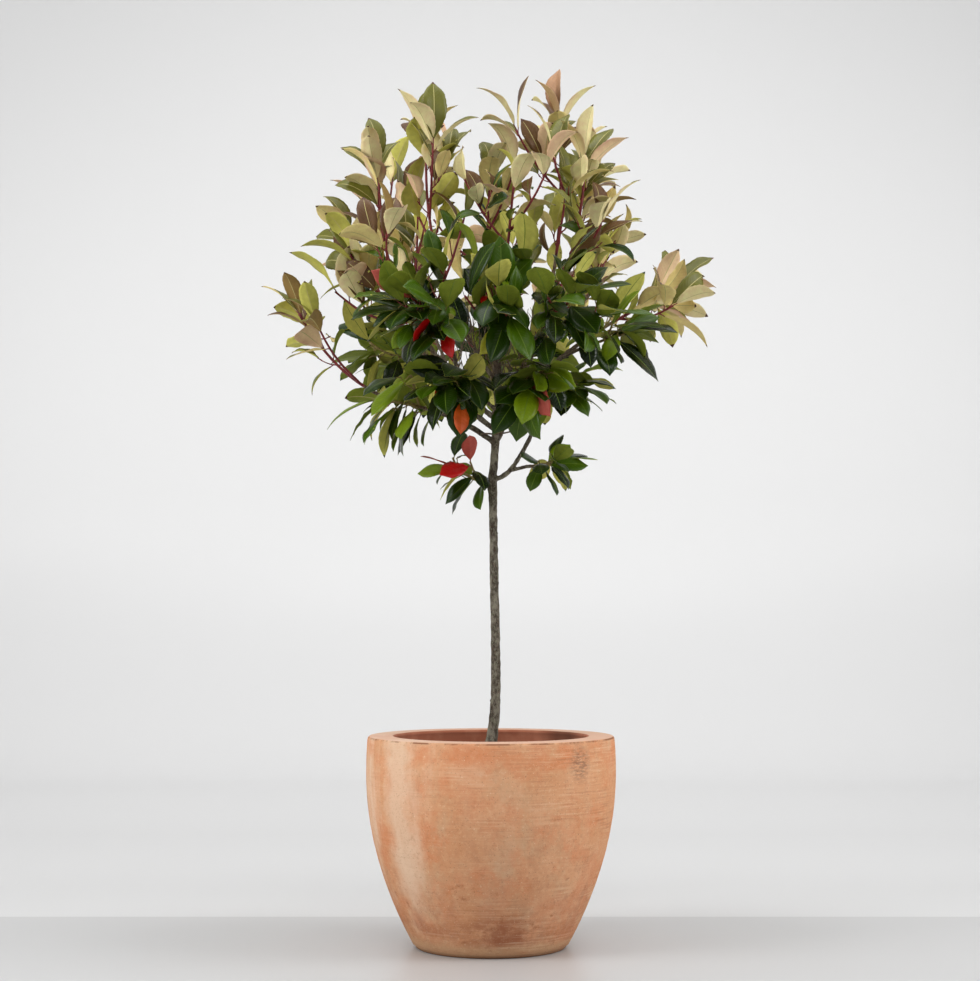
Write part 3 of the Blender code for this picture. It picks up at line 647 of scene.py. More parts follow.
def clay_look():
    """Weathered hand-thrown clay: orange and beige clouds, a band of bloom, turning lines, a brown foot,
    darker towards the bottom, and a painted contact shadow along its lowest edge.
    """
    look = Look("clay", 0.90, 0.22, shown(214, 154, 112))
    right, back, height = look.parts(look.place())[:3]
    radius = look.maths("SQRT", look.maths("MULTIPLY_ADD", right, right, look.times(back, back)))
    look.paint(look.patches(7, 4, 0.6, 0.38, 0.62), shown(226, 170, 130))
    look.paint(look.patches(13, 8, 0.70, 0.46, 0.60, 0, 0.62, stretch=(1, 1, 1.2)), shown(216, 136, 92))
    beige = look.patches(17, 8, 0.72, 0.50, 0.66, 0, 0.65, stretch=(1.1, 0.9, 0.7))
    look.paint(beige, shown(208, 168, 132))
    clouds = look.patches(32, 8, 0.72, 0.53, 0.68, stretch=(0.9, 1.2, 1))
    look.paint(look.times(clouds, look.between(height, 0.200, 0.050, 0.15, 0.60)), shown(180, 120, 88))
    turn = look.maths("ARCTAN2", right, look.times(back, -1.0))
    turn = look.maths("SUBTRACT", turn, math.radians(BLOOM_TURN + BLOOM_WANDER / 2))
    wander = look.noise(14, 4, 0.6, (1, 1, 2))
    away = look.maths("ABSOLUTE", look.maths("MULTIPLY_ADD", wander, math.radians(BLOOM_WANDER), turn))
    bloom = look.between(away, math.radians(BLOOM_REACH), math.radians(BLOOM_REACH * 0.3), 0, 0.75)
    look.paint(look.times(bloom, look.between(height, 0.030, 0.110)), shown(232, 198, 168))
    streaks = look.patches(1, 5, 0.58, 0.48, 0.64, stretch=(24, 24, 2.4))
    look.paint(look.times(streaks, look.between(right, -0.04, -0.13, 0.10, 0.70)), shown(238, 206, 176))
    look.paint(look.patches(1, 5, 0.6, 0.57, 0.70, 0, 0.28, stretch=(34, 30, 4)), shown(188, 124, 88))
    stains = look.patches(24, 8, 0.68, 0.40, 0.58, stretch=(1, 1, 1.4))
    for centre, reach, share, colour in STAINS:
        look.paint(look.times(look.spot(centre, reach), stains, share), colour)
    band = look.times(look.between(height, 0.254, 0.272), look.between(height, 0.293, 0.284))
    look.paint(look.times(band, look.patches(16, 5, 0.6, 0.42, 0.58, 0, 0.65)), shown(220, 138, 92))
    foot = look.times(look.between(height, 0.095, 0.040), look.between(height, 0.016, 0.030))
    look.paint(look.times(foot, stains, 0.50), shown(172, 110, 80))
    ring = look.maths("MULTIPLY_ADD", look.noise(40, 4, 0.5), 0.014, height)
    look.paint(look.between(ring, 0.030, 0.020, 0, 0.70), shown(206, 166, 128))
    sand = look.noise(150, 7, 0.76)
    look.paint(look.between(sand, 0.54, 0.72, 0, 0.35), shown(240, 208, 172))
    look.paint(look.between(sand, 0.46, 0.30, 0, 0.35), shown(176, 118, 84))
    lines = look.noise(1, 3, 0.5, (16, 16, 430))
    where = look.patches(12, 4, 0.6, 0.40, 0.62, stretch=(1, 1, 2))
    where = look.times(where, look.between(right, -0.13, 0.03, 0.25, 1.0))
    look.paint(look.times(look.between(lines, 0.54, 0.70, 0, 0.42), where), shown(242, 208, 174))
    look.paint(look.times(look.between(lines, 0.46, 0.32, 0, 0.46), where), shown(172, 112, 80))
    rust = look.patches(58, 8, 0.78, 0.57, 0.68, 0, 0.62, stretch=(1, 1, 1.3))
    look.paint(look.times(rust, look.between(height, 0.250, 0.090, 0.12, 1.0)), shown(160, 96, 64))
    pits = look.noise(560, 2, 0.5)
    look.paint(look.between(pits, 0.67, 0.73, 0, 0.6), shown(246, 222, 190))
    look.paint(look.between(pits, 0.33, 0.28, 0, 0.6), shown(132, 82, 56))
    look.paint(look.patches(95, 6, 0.85, 0.68, 0.74, 0, 0.7), shown(244, 216, 176))
    smudge = look.patches(110, 5, 0.7, 0.40, 0.58, 0, 0.60, stretch=(1, 1, 4))
    look.paint(look.times(look.spot(*SMUDGE), smudge), shown(112, 84, 72))
    edge = look.times(
        look.between(height, POT_HEIGHT - 0.0034, POT_HEIGHT - 0.0022),
        look.between(height, POT_HEIGHT - 0.0004, POT_HEIGHT - 0.0011),
        look.between(radius, POT_LIP_RADIUS - 0.006, POT_LIP_RADIUS - 0.003),
        look.patches(30, 5, 0.7, 0.42, 0.56, 0, 0.80),
    )
    look.paint(edge, shown(128, 82, 58))
    top = look.between(height, POT_HEIGHT - 0.0010, POT_HEIGHT - 0.0004, 0, 0.60)
    look.paint(top, shown(236, 200, 180))
    mouth = POT_LIP_RADIUS - POT_LIP_WIDTH
    inside = look.between(radius, mouth + 0.0035, mouth + 0.0015)
    inside = look.times(inside, look.between(height, 0.20, 0.21))
    wall = look.mix(look.patches(30, 5, 0.5, 0.4, 0.6), shown(186, 120, 94), shown(170, 104, 80))
    look.paint(inside, look.mix(look.times(look.spot(*INNER_STAIN), 0.7), wall, shown(96, 62, 50)))
    look.paint(look.between(height, 0.22, 0.04, 0, 0.17), shown(110, 70, 50))
    # Painted contact shadow: the lowest few millimetres of the foot are darkened where the pot meets the
    # floor
    look.paint(look.between(height, 0.0060, 0.0015, 0, 0.75), shown(104, 70, 50))
    relief = look.maths("MULTIPLY_ADD", pits, 0.5, look.times(lines, 0.6))
    return look.finish(look.maths("MULTIPLY_ADD", sand, 0.8, relief), 0.0006, 0.55)


def compost_look():
    look = Look("compost", 1.0, 0.15, shown(34, 26, 21))
    crumbs = look.noise(240, 5, 0.7)
    look.paint(look.between(crumbs, 0.35, 0.65), shown(80, 62, 48))
    return look.finish(crumbs, 0.002, 0.8)


def bark_look():
    """Grey bark with pale flecks, dark cracks and patches, browner on the younger wood above."""
    look = Look("bark", 0.85, 0.3, shown(56, 49, 40))
    cracks = look.noise(460, 6, 0.72, (1, 1, 0.38))
    look.paint(look.between(cracks, 0.38, 0.62), shown(114, 106, 94))
    patches = look.noise(105, 5, 0.65, (1, 1, 0.5))
    look.paint(look.between(patches, 0.50, 0.60, 0, 0.70), shown(150, 144, 128))
    look.paint(look.between(patches, 0.46, 0.36, 0, 0.75), shown(56, 46, 38))
    lichen = look.noise(260, 5, 0.7, (1, 1, 0.8))
    look.paint(look.between(lichen, 0.56, 0.64, 0, 0.60), shown(146, 148, 122))
    look.paint(look.between(lichen, 0.42, 0.34, 0, 0.60), shown(96, 66, 48))
    look.paint(look.between(look.parts(look.place())[2], 0.70, 0.86, 0, 0.55), shown(100, 78, 60))
    flecks = look.noise(620, 2, 0.5, (1, 1, 1.6))
    look.paint(look.between(flecks, 0.62, 0.70, 0, 0.75), shown(182, 170, 150))
    return look.finish(look.maths("MULTIPLY_ADD", cracks, 1.6, flecks), 0.0010, 0.9)


def leaf_look(name, colour, roughness, shine, vein_depth, blush):
    """A blade with soft mottling, side veins by a map in centimetres, and a young leaf's blush."""
    look = Look(name, roughness, shine, scaled(colour, 0.92))
    pale = scaled(colour, 1.18)
    look.paint(look.patches(120, 4, 0.55, 0.3, 0.7), pale)
    across, along = look.parts(look.place(kind="UV"))[:2]
    across = look.maths("ABSOLUTE", across)
    if blush:
        edge = look.between(across, 0.5, 1.7, 0.35, 1.3)
        look.paint(look.times(look.patches(22, 3, 0.5, 0.40, 0.62, 0, 0.70), edge), blush)
    slant = look.maths("MULTIPLY_ADD", across, -0.9, along)
    ripple = look.maths("PINGPONG", look.times(slant, 1.9), 0.5)
    vein = look.times(look.between(ripple, 0.12, 0.0), look.between(across, 1.5, 0.9))
    look.paint(look.times(vein, 0.22), pale)
    return look.finish(vein, 0.0004 * vein_depth, 0.5)


def twig_look(name, low, high, shine=0.4):
    look = Look(name, 0.5, shine, low)
    fine = look.noise(300, 4, 0.6, (1, 1, 0.4))
    look.paint(look.between(fine, 0.35, 0.65), high)
    return look.finish(fine, 0.0003, 0.5)


# Uppers and undersides, each with its roughness and shine. The pale undersides and their blushes are
# painted lighter than their own colour, a painted light for the light that shines through the leaves.
UPPERS = {
    "deep": (shown(22, 38, 4), 0.26, 0.30),
    "dark": (shown(34, 56, 6), 0.28, 0.30),
    "green": (shown(62, 88, 10), 0.32, 0.28),
    # Partly painted light: a fresh green made brighter to stand in for leaves that light shines through
    "fresh": (shown(108, 130, 18), 0.36, 0.28),
    "olive": (shown(104, 104, 40), 0.38, 0.34),
    "bronze": (shown(104, 76, 46), 0.40, 0.32),
    "red": (shown(186, 16, 16), 0.34, 0.40),
    "orange": (shown(198, 84, 30), 0.36, 0.40),
    "yellow": (shown(152, 148, 34), 0.36, 0.40),
    "copper": (shown(172, 132, 100), 0.42, 0.30),
}
UNDERSIDES = {
    "leaf_green": (shown(124, 136, 46), 0.58, 0.24),
    # Painted light: olive green, khaki, pale khaki and rosy are lit past their own colour to stand in for
    # light shining through the leaves
    "olive_green": (shown(196, 192, 94), 0.62, 0.24),
    "khaki": (shown(246, 220, 144), 0.64, 0.24),
    "pale_khaki": (shown(252, 230, 170), 0.64, 0.24),
    "rosy": (shown(248, 208, 164), 0.62, 0.24),
    "dusky": (shown(150, 122, 72), 0.58, 0.24),
    "dull_red": (shown(166, 74, 62), 0.50, 0.28),
}
BLUSHES = {
    # The rosy and khaki blushes are lightened the same way, a painted light for light shining through the
    # leaves
    "rosy": shown(228, 170, 144),
    "khaki": shown(228, 194, 142),
    "pale_khaki": shown(240, 204, 164),
    "bronze": shown(80, 50, 34),
}
MIDRIBS = {
    "rib_green": shown(104, 128, 44),
    "rib_khaki": shown(208, 196, 128),
    "tip_brown": shown(84, 52, 38),
}


def make_looks():
    looks = {"clay": clay_look(), "compost": compost_look(), "bark": bark_look()}
    for side, table, vein_depth in (("upper", UPPERS, -1.0), ("under", UNDERSIDES, 1.0)):
        for name, shades in table.items():
            looks[name] = leaf_look(f"{side}_{name}", *shades, vein_depth, BLUSHES.get(name))
    for name, colour in MIDRIBS.items():
        looks[name] = twig_look(name, scaled(colour, 0.85), colour)
    looks["red_twig"] = twig_look("red_twig", shown(96, 30, 38), shown(146, 62, 62))
    looks["green_twig"] = twig_look("green_twig", shown(112, 92, 54), shown(150, 136, 84))
    looks["brown_twig"] = twig_look("brown_twig", shown(70, 56, 44), shown(124, 106, 86), 0.3)
    return looks


# Meshes


def new_item(name, data):
    """A new object, put into the scene."""
    item = bpy.data.objects.new(name, data)
    bpy.context.scene.collection.objects.link(item)
    return item


def ring_faces(rings, sides):
    """Faces from each ring of points to the next."""
    low = np.arange(rings - 1)[:, None] * sides + np.arange(sides)
    after = np.roll(low, -1, 1)
    return np.stack((low, after, after + sides, low + sides), 2).reshape(-1, 4)


def fan(middle, ring):
    """Triangles from a middle point to a ring of points, as faces that name a point twice."""
    after = np.roll(ring, -1)
    return np.stack((np.full(len(ring), middle), ring, after, after), 1)


class Bits:
    """Vertices and faces gathered from many small shapes, to be one mesh."""

    def __init__(self):
        self.vertices = []
        self.faces = []
        self.looks = []
        self.maps = []
        self.count = 0

    def add(self, vertices, faces, looks, maps=None):
        """Adds a shape: points, faces as four point numbers each, and one look or one for each face."""
        self.vertices.append(np.asarray(vertices, float))
        self.faces.append(np.asarray(faces) + self.count)
        self.looks += [looks] * len(faces) if isinstance(looks, str) else looks
        self.maps.append(np.zeros((len(vertices), 2)) if maps is None else maps)
        self.count += len(vertices)

    def piece(self, name, looks):
        """The piece that these shapes make, with only the materials that it uses."""
        mesh = bpy.data.meshes.new(name)
        faces = [list(dict.fromkeys(face)) for face in np.concatenate(self.faces).tolist()]
        mesh.from_pydata(np.concatenate(self.vertices), [], faces)
        used = sorted(set(self.looks))
        for look in used:
            mesh.materials.append(looks[look])
        mesh.polygons.foreach_set("material_index", [used.index(look) for look in self.looks])
        corners = np.zeros(len(mesh.loops), int)
        mesh.loops.foreach_get("vertex_index", corners)
        layer = mesh.uv_layers.new(name="leaf")
        layer.data.foreach_set("uv", np.concatenate(self.maps)[corners].ravel())
        mesh.shade_smooth()
        mesh.validate()
        return new_item(name, mesh)


def smooth_path(path, steps, wobble, seed):
    """A path rounded through its points, with more of them, and a slight wander to either side."""
    points = path.points
    last = len(points) - 1
    fine = []
    radii = []
    for step in range(steps + 1):
        place = step / steps * last
        low = min(int(place), last - 1)
        share = place - low
        before = points[max(low - 1, 0)]
        after = points[min(low + 2, last)]
        start = points[low]
        end = points[low + 1]
        point = 0.5 * (
            2 * start
            + (end - before) * share
            + (2 * before - 5 * start + 4 * end - after) * share**2
            + (3 * start - before - 3 * end + after) * share**3
        )
        away = noise.noise_vector(Vector((place * 0.9, seed * 3.7, 1.3))) * wobble
        fine.append(point + away * min(1, step, steps - step))
        radii.append(path.radii[low] + (path.radii[low + 1] - path.radii[low]) * share)
    return Path(fine, radii)


# How far a tube's tip stands out, as a share of its radius there
TUBE_TIP = 0.4


def tube(path, sides):
    """The points and faces of a round limb along a path, closed at its root and pointed at its tip."""
    points = []
    side = None
    last = len(path.points) - 1
    for step, (point, radius) in enumerate(zip(path.points, path.radii)):
        ahead = (path.points[min(step + 1, last)] - path.points[max(step - 1, 0)]).normalized()
        if side is None:
            side = sideways(ahead, 0)
        side = (side - ahead * side.dot(ahead)).normalized()
        across = ahead.cross(side)
        for corner in range(sides):
            turn = math.tau * corner / sides
            points.append(point + (side * math.cos(turn) + across * math.sin(turn)) * radius)
    root = len(points)
    points += [path.points[0], path.points[-1] + ahead * path.radii[-1] * TUBE_TIP]
    first = np.arange(sides)
    ends = (fan(root, first[::-1]), fan(root + 1, first + last * sides))
    return points, np.concatenate((ring_faces(last + 1, sides), *ends))


# A blade's outline: where along it it is widest, how full it is towards its tip, its drawn-out point
# and its teeth. Then its stalk and its thickness, and how much of its bend comes late.
WIDEST_AT = 0.54
TIP_FULLNESS = 0.84
POINT_FROM = 0.82
POINT_DRAWN_IN = 0.46
TOOTH = 0.020
STALK_SHARE = 0.115
STALK_RADIUS = 0.00085
STALK_SIDES = 5
BLADE_THICKNESS = 0.00040
EDGE_THICKNESS = 0.00018
RIB_HEIGHT = 0.0007
LATE_BEND = 0.45


class Blade:
    """The grid that a size of leaf is made on: stations from base to tip, and columns from edge to edge."""

    def __init__(self, stations, columns):
        self.shares = np.linspace(0, 1, stations + 1)
        self.columns = np.array(columns)
        base_fullness = TIP_FULLNESS * WIDEST_AT / (1 - WIDEST_AT)
        widths = (self.shares / WIDEST_AT) ** base_fullness
        widths = widths * ((1 - self.shares) / (1 - WIDEST_AT)) ** TIP_FULLNESS
        point = np.clip((self.shares - POINT_FROM) / (1 - POINT_FROM), 0, 1)
        widths = widths * (1 - POINT_DRAWN_IN * point)
        widths = widths * (1 + TOOTH * np.where(np.arange(stations + 1) % 2, 1, -1))
        widths[0] = 0.05
        widths[-1] = 0.012
        self.widths = widths
        self.faces, self.kinds = self.both_sides(stations, len(columns))

    @staticmethod
    def both_sides(stations, columns):
        """Faces of both sides and the rim, and the kind of each: upper, under or the rib of either."""
        under = columns * (stations + 1)
        faces = []
        kinds = []
        for row in range(stations):
            for column in range(columns - 1):
                low = row * columns + column
                top = (low, low + 1, low + 1 + columns, low + columns)
                faces += [top, tuple(under + place for place in reversed(top))]
                if row == stations - 1:
                    kinds += ["point", "point"]
                elif column == columns // 2 - 1:
                    kinds += ["rib", "under_rib"]
                else:
                    kinds += ["upper", "under"]
        border = [
            *range(columns - 1), *range(columns - 1, under - 1, columns),
            *range(under - 1, under - columns, -1), *range(under - columns, 0, -columns),
        ]
        for place, after in zip(border, border[1:] + border[:1]):
            faces.append((place, under + place, under + after, after))
            kinds.append("under")
        return np.array(faces), kinds


LARGE_BLADE = Blade(20, (-1.0, -0.64, -0.30, -0.032, 0.032, 0.30, 0.64, 1.0))
SMALL_BLADE = Blade(13, (-1.0, -0.50, -0.035, 0.035, 0.50, 1.0))
Form = namedtuple("Form", "bend fold curl twist wave waves phase width")


def leaf_form(chance, young):
    """How one leaf is bent: young ones fold like a boat, old ones are flatter with edges that curl down."""
    return Form(
        bend=chance.uniform(0.50, 1.35) if young else chance.uniform(0.30, 0.95),
        fold=math.radians(chance.uniform(12, 32) if young else chance.uniform(6, 24)),
        curl=chance.uniform(0.00, 0.10) if young else chance.uniform(0.05, 0.25),
        twist=math.radians(chance.uniform(-30, 30)),
        wave=chance.uniform(0.0, 0.0010),
        waves=chance.uniform(1.5, 3.5),
        phase=chance.uniform(0, math.tau),
        width=chance.uniform(0.92, 1.12) if young else chance.uniform(1.04, 1.30),
    )


def add_leaf(bits, blade, leaf, form, looks):
    """One leaf: its stalk, and a blade that arches along its length, folds at its rib and has two sides."""
    columns = blade.columns[None]
    shares = blade.shares[:, None]
    direction = np.array(leaf.direction)
    face = np.array(leaf.face)
    across = np.array(leaf.face.cross(leaf.direction))
    stalk = leaf.length * STALK_SHARE
    length = leaf.length - stalk
    turned = (1 - LATE_BEND) * blade.shares + LATE_BEND * blade.shares**3
    mean_turned = (1 - LATE_BEND) / 2 + LATE_BEND / 4
    slope = form.bend * (mean_turned - turned) - LEAF_TIP_DROP
    between = (slope[1:] + slope[:-1]) / 2
    step = length / (len(shares) - 1)
    along = np.concatenate(([0], np.cumsum(np.cos(between)))) * step
    rise = np.concatenate(([0], np.cumsum(np.sin(between)))) * step
    base = np.array(leaf.root) + (direction * math.cos(slope[0]) + face * math.sin(slope[0])) * stalk
    middle = base + direction * along[:, None] + face * rise[:, None]
    up = face * np.cos(slope)[:, None] - direction * np.sin(slope)[:, None]
    turn = form.twist * shares
    side = across * np.cos(turn) + up * np.sin(turn)
    up = up * np.cos(turn) - across * np.sin(turn)
    reach = columns * (blade.widths * form.width * leaf.width / 2)[:, None]
    fold = form.fold * (1 - 0.4 * shares)
    lift = np.abs(reach) * (np.sin(fold) - form.curl * columns**2)
    ripple = np.sin(form.waves * math.tau * shares + form.phase + 1.7 * np.sign(columns))
    lift = lift + form.wave * ripple * np.abs(columns) ** 1.5 * np.minimum(1, 4 * (1 - shares))
    top = middle[:, None] + side[:, None] * (reach * np.cos(fold))[..., None]
    top = top + up[:, None] * lift[..., None]
    thick = EDGE_THICKNESS + (BLADE_THICKNESS - EDGE_THICKNESS) * (1 - np.abs(columns))
    ridge = np.exp(-((columns / 0.08) ** 2)) * RIB_HEIGHT * (1 - 0.85 * shares)
    bottom = top - up[:, None] * (thick + ridge)[..., None]
    vertices = np.concatenate((top.reshape(-1, 3), bottom.reshape(-1, 3)))
    centimetres = np.stack((reach, np.broadcast_to(shares * length, reach.shape)), 2) * 100
    maps = np.concatenate((centimetres.reshape(-1, 2),) * 2)
    bits.add(vertices, blade.faces, [looks[kind] for kind in blade.kinds], maps)
    stalk_end = Vector(base + direction * 0.002)
    stalk_middle = leaf.root.lerp(stalk_end, 0.5) + leaf.face * stalk * 0.05
    radii = [STALK_RADIUS * 1.35, STALK_RADIUS, STALK_RADIUS * 0.85]
    bits.add(*tube(Path([leaf.root, stalk_middle, stalk_end], radii), STALK_SIDES), looks["stalk"])


# Leaves that have coloured, the old ones and the rosy one at the top: a tint, how far right and how
# high the leaf that takes it lies, and about how long that leaf is
TINTED = (
    ("orange", 0.004, 0.755, 0.052), ("dull_red", 0.067, 0.740, 0.062), ("yellow", 0.007, 0.795, 0.070),
    ("red", -0.089, 0.833, 0.050), ("red", -0.024, 0.861, 0.045), ("red", 0.003, 0.841, 0.050),
    ("dull_red", -0.134, 0.893, 0.050), ("red", -0.068, 0.819, 0.040), ("dull_red", -0.049, 0.709, 0.050),
    ("red", -0.067, 0.669, 0.045), ("dull_red", -0.064, 0.684, 0.050), ("red", -0.090, 0.755, 0.035),
    ("orange", 0.033, 0.742, 0.035), ("yellow", 0.100, 0.880, 0.060), ("yellow", -0.030, 0.930, 0.060),
    ("rosy", 0.089, 1.222, 0.078),
)
TINT_LOOKS = {"yellow": ("yellow", "olive_green"), "rosy": ("copper", "rosy")}


def deal_tints(crown, fine):
    """The leaves that take a tint: for each one that is near its place, of its length and in front."""
    tints = {}
    for tint, right, height, length in TINTED:
        nearest = (math.inf,)
        for name in ["top_right"] if tint == "rosy" else sorted(OLD_MASSES):
            for number, leaf in enumerate(crown[name].leaves + fine[name].leaves):
                middle = leaf.root + leaf.direction * leaf.length / 2
                away = math.hypot(middle.x - right, middle.z - height)
                away += 0.30 * middle.y + 2 * abs(leaf.length - length) + 0.03 * (1 - abs(leaf.face.y))
                if (name, number) not in tints and away < nearest[0]:
                    nearest = (away, name, number)
        tints[nearest[1:]] = tint
    return tints


# A leaf's youth is by how far out its tip lies from the crown's heart, and less with its age
CROWN_HEART = Vector((0, 0, 0.76))
CROWN_REACH = Vector((0.33, 0.29, 0.46))

# How often young leaves of these masses have each underside, and how often those of the others do
YOUNG_UNDERSIDES = ("rosy", "pale_khaki", "khaki", "olive_green", "dusky")
UNDER_SHARES = {"far_left": (1, 0, 3, 4, 5), "far_right": (2, 8, 4, 0, 0), "top_right": (5, 7, 3, 0, 0)}
OTHER_SHARES = (2, 6, 4, 1.5, 0.5)


def leaf_looks(name, leaf, chance, tint):
    """The looks of a leaf's parts, by how young it is: most at the tips of the upper and outer masses."""
    if tint:
        upper, under = TINT_LOOKS.get(tint, (tint, tint))
        parts = (upper, under, upper, under, upper, "red_twig")
    else:
        tip = leaf.root + leaf.direction * leaf.length - CROWN_HEART
        out = Vector(tip[axis] / CROWN_REACH[axis] for axis in range(3)).length
        youth = (out - 0.42) / 0.40 - 0.25 * leaf.age
        if name in OLD_MASSES or youth < chance.uniform(0.0, 0.4):
            shares = (1.5, 3, 4, 2) if name.startswith("low") else (4, 4, 2.5, 1.0)
            upper = chance.choices(("deep", "dark", "green", "fresh"), shares)[0]
            under = chance.choices(("leaf_green", "olive_green"), (3, 1))[0]
            parts = (upper, under, "rib_green", "rib_green", upper, "green_twig")
        elif youth > chance.uniform(0.5, 0.9):
            upper = chance.choices(("bronze", "olive"), (2, 3))[0]
            under = chance.choices(YOUNG_UNDERSIDES, UNDER_SHARES.get(name, OTHER_SHARES))[0]
            parts = (upper, under, "rib_khaki", "rib_khaki", "tip_brown", "red_twig")
        else:
            upper = chance.choices(("olive", "green", "dark", "bronze"), (2, 4, 3, 1))[0]
            under = chance.choices(("khaki", "olive_green", "leaf_green"), (3, 5, 1.5))[0]
            parts = (upper, under, "rib_green", "rib_khaki", "tip_brown", "red_twig")
    return dict(zip(("upper", "under", "rib", "under_rib", "point", "stalk"), parts))


# How a mass's stem and its other twigs are drawn out, and the share of the stem that has turned brown
DRAWN_STEM_STEPS = 20
DRAWN_TWIG_STEPS = 9
DRAWN_TWIG_SIDES = 7
TWIG_WOBBLE = 0.0006
BROWN_SHARE = 0.35

# Old masses whose twigs are still red
RED_TWIGGED = {"front", "front_left", "front_right"}


def make_foliage(name, mass, growth, fine, tints, looks):
    """A mass as two pieces, its leaves and its twigs, which both stand for its solid."""
    chance = random.Random(mass.seed * 7 + 5)
    leaves = Bits()
    for number, leaf in enumerate(growth.leaves + fine.leaves):
        blade = LARGE_BLADE if number < len(growth.leaves) else SMALL_BLADE
        form = leaf_form(chance, name not in OLD_MASSES)
        add_leaf(leaves, blade, leaf, form, leaf_looks(name, leaf, chance, tints.get((name, number))))
    twigs = Bits()
    look = "green_twig" if name in OLD_MASSES - RED_TWIGGED else "red_twig"
    for number, twig in enumerate(growth.twigs + fine.twigs):
        steps = DRAWN_TWIG_STEPS if number else DRAWN_STEM_STEPS
        points, faces = tube(smooth_path(twig, steps, TWIG_WOBBLE, mass.seed + number), DRAWN_TWIG_SIDES)
        brown = 0 if number else round(steps * BROWN_SHARE) * DRAWN_TWIG_SIDES
        twigs.add(points, faces, ["brown_twig"] * brown + [look] * (len(faces) - brown))
    for kind, bits in (("leaves", leaves), ("twigs", twigs)):
        piece = bits.piece(f"{kind}_{name}", looks)
        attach(piece, "root")
        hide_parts(f"foliage_{name}")


# Bare fine twigs that stand among the inner boughs, each with a finer one to its side
THICKET_BOUGHS = (
    "leader", "top_left", "front_high", "front", "inner_left", "inner_right", "front_left", "upper_right",
    "back",
)
THICKET_EACH = 7
THICKET_ALONG = (0.25, 0.95)
THICKET_LENGTH = (0.040, 0.110)
THICKET_RADIUS = 0.0009
THICKET_TIP_RADIUS = 0.0004
THICKET_LEAN = (4, 32)
THICKET_BEND = 0.12
THICKET_SIDE_ALONG = (0.3, 0.6)
THICKET_SIDE_LEAN = math.radians(35)
THICKET_SIDE_LENGTH = 0.45
THICKET_SIDE_RADIUS = 0.75
THICKET_WOBBLE = 0.0012

# A thin twig that passes in front of the fork, from one low bough to the other
CROSSING_FROM = 0.16
CROSSING_TO = 0.86
CROSSING_SAG = Vector((0, -0.030, -0.014))
CROSSING_RADIUS = 0.0014
CROSSING_WOBBLE = 0.0016


def make_thicket(limbs, looks):
    """The thin bare twigs that rise from the inner boughs, and the one across the fork."""
    chance = random.Random(12)
    bits = Bits()
    for name in THICKET_BOUGHS:
        for _ in range(THICKET_EACH):
            start, _ = at_share(limbs[name], chance.uniform(*THICKET_ALONG))
            turn = chance.uniform(0, math.tau)
            lean = math.radians(chance.uniform(*THICKET_LEAN))
            rise = UP * math.cos(lean) + sideways(UP, turn) * math.sin(lean)
            length = chance.uniform(*THICKET_LENGTH)
            bend = sideways(UP, chance.uniform(0, math.tau)) * length * THICKET_BEND
            control = start + rise * length / 2 + bend
            twig = swept(start, control, start + rise * length, THICKET_RADIUS, THICKET_TIP_RADIUS, 6)
            side = twig_path(
                twig, chance.uniform(*THICKET_SIDE_ALONG), chance.uniform(0, math.tau), THICKET_SIDE_LEAN,
                length * THICKET_SIDE_LENGTH, THICKET_RADIUS * THICKET_SIDE_RADIUS, THICKET_TIP_RADIUS,
            )
            for path in (twig, side):
                bits.add(*tube(smooth_path(path, 8, THICKET_WOBBLE, len(bits.vertices)), 5), "brown_twig")
    start, _ = at_share(limbs["left_low"], CROSSING_FROM)
    end, _ = at_share(limbs["right_low"], CROSSING_TO)
    crossing = swept(start, start.lerp(end, 0.5) + CROSSING_SAG, end, CROSSING_RADIUS, THICKET_RADIUS, 8)
    bits.add(*tube(smooth_path(crossing, 24, CROSSING_WOBBLE, 5), 7), "brown_twig")
    piece = bits.piece("thicket", looks)
    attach(piece, "root")


# The wood: trunk and boughs grown together, with the bark's relief
WOOD_VOXEL = 0.0010
WOOD_WOBBLE = 0.0009
BARK_RELIEF = 0.0006

# Buds and scars on the trunk: height, degrees about it from its right, radius and how far it stands out
NUBS = (
    (0.285, 250, 0.0042, 0.0015), (0.411, 285, 0.0020, 0.0032), (0.340, 160, 0.0026, 0.0015),
    (0.505, 200, 0.0040, 0.0008), (0.505, 20, 0.0040, 0.0008), (0.575, 330, 0.0022, 0.0022),
    (0.655, 250, 0.0030, 0.0020), (0.672, 100, 0.0026, 0.0030), (0.690, 300, 0.0030, 0.0018),
)
NUB_ROOT = 0.0058
# The pruned end of an old leader, which leans to the front right of the trunk's top
STUB_FROM = Vector((0.0085, -0.001, 0.735))
STUB_TO = Vector((0.0190, -0.014, 0.758))
STUB_RADIUS = 0.0052


def wood_tubes(limbs):
    """What the wood grows together from: its limbs, the stub and the nubs, each as a path and its sides."""
    for number, (name, path) in enumerate(limbs.items()):
        steps, sides = (60, 16) if name == "trunk" else (14, 10)
        yield smooth_path(path, steps, WOOD_WOBBLE, number), sides
    yield Path([STUB_FROM, STUB_FROM.lerp(STUB_TO, 0.5), STUB_TO], [STUB_RADIUS] * 3), 12
    for height, degrees, radius, out in NUBS:
        middle = at_height(limbs["trunk"], height)
        turn = math.radians(degrees)
        away = Vector((math.cos(turn), math.sin(turn), 0.25)).normalized()
        far = middle + away * (NUB_ROOT + out)
        yield Path([middle, middle.lerp(far, 0.7), far], [radius, radius, radius * 0.5]), 8


def bark_height(place):
    """Ridges that run up the stem, over broader swellings."""
    ridges = noise.noise(Vector((place.x * 330, place.y * 330, place.z * 80)))
    return ridges + noise.noise(place * 120)


def vertex_values(mesh, kind):
    """Three values of each vertex of a mesh."""
    values = np.zeros(len(mesh.vertices) * 3)
    mesh.vertices.foreach_get(kind, values)
    return values.reshape(-1, 3)


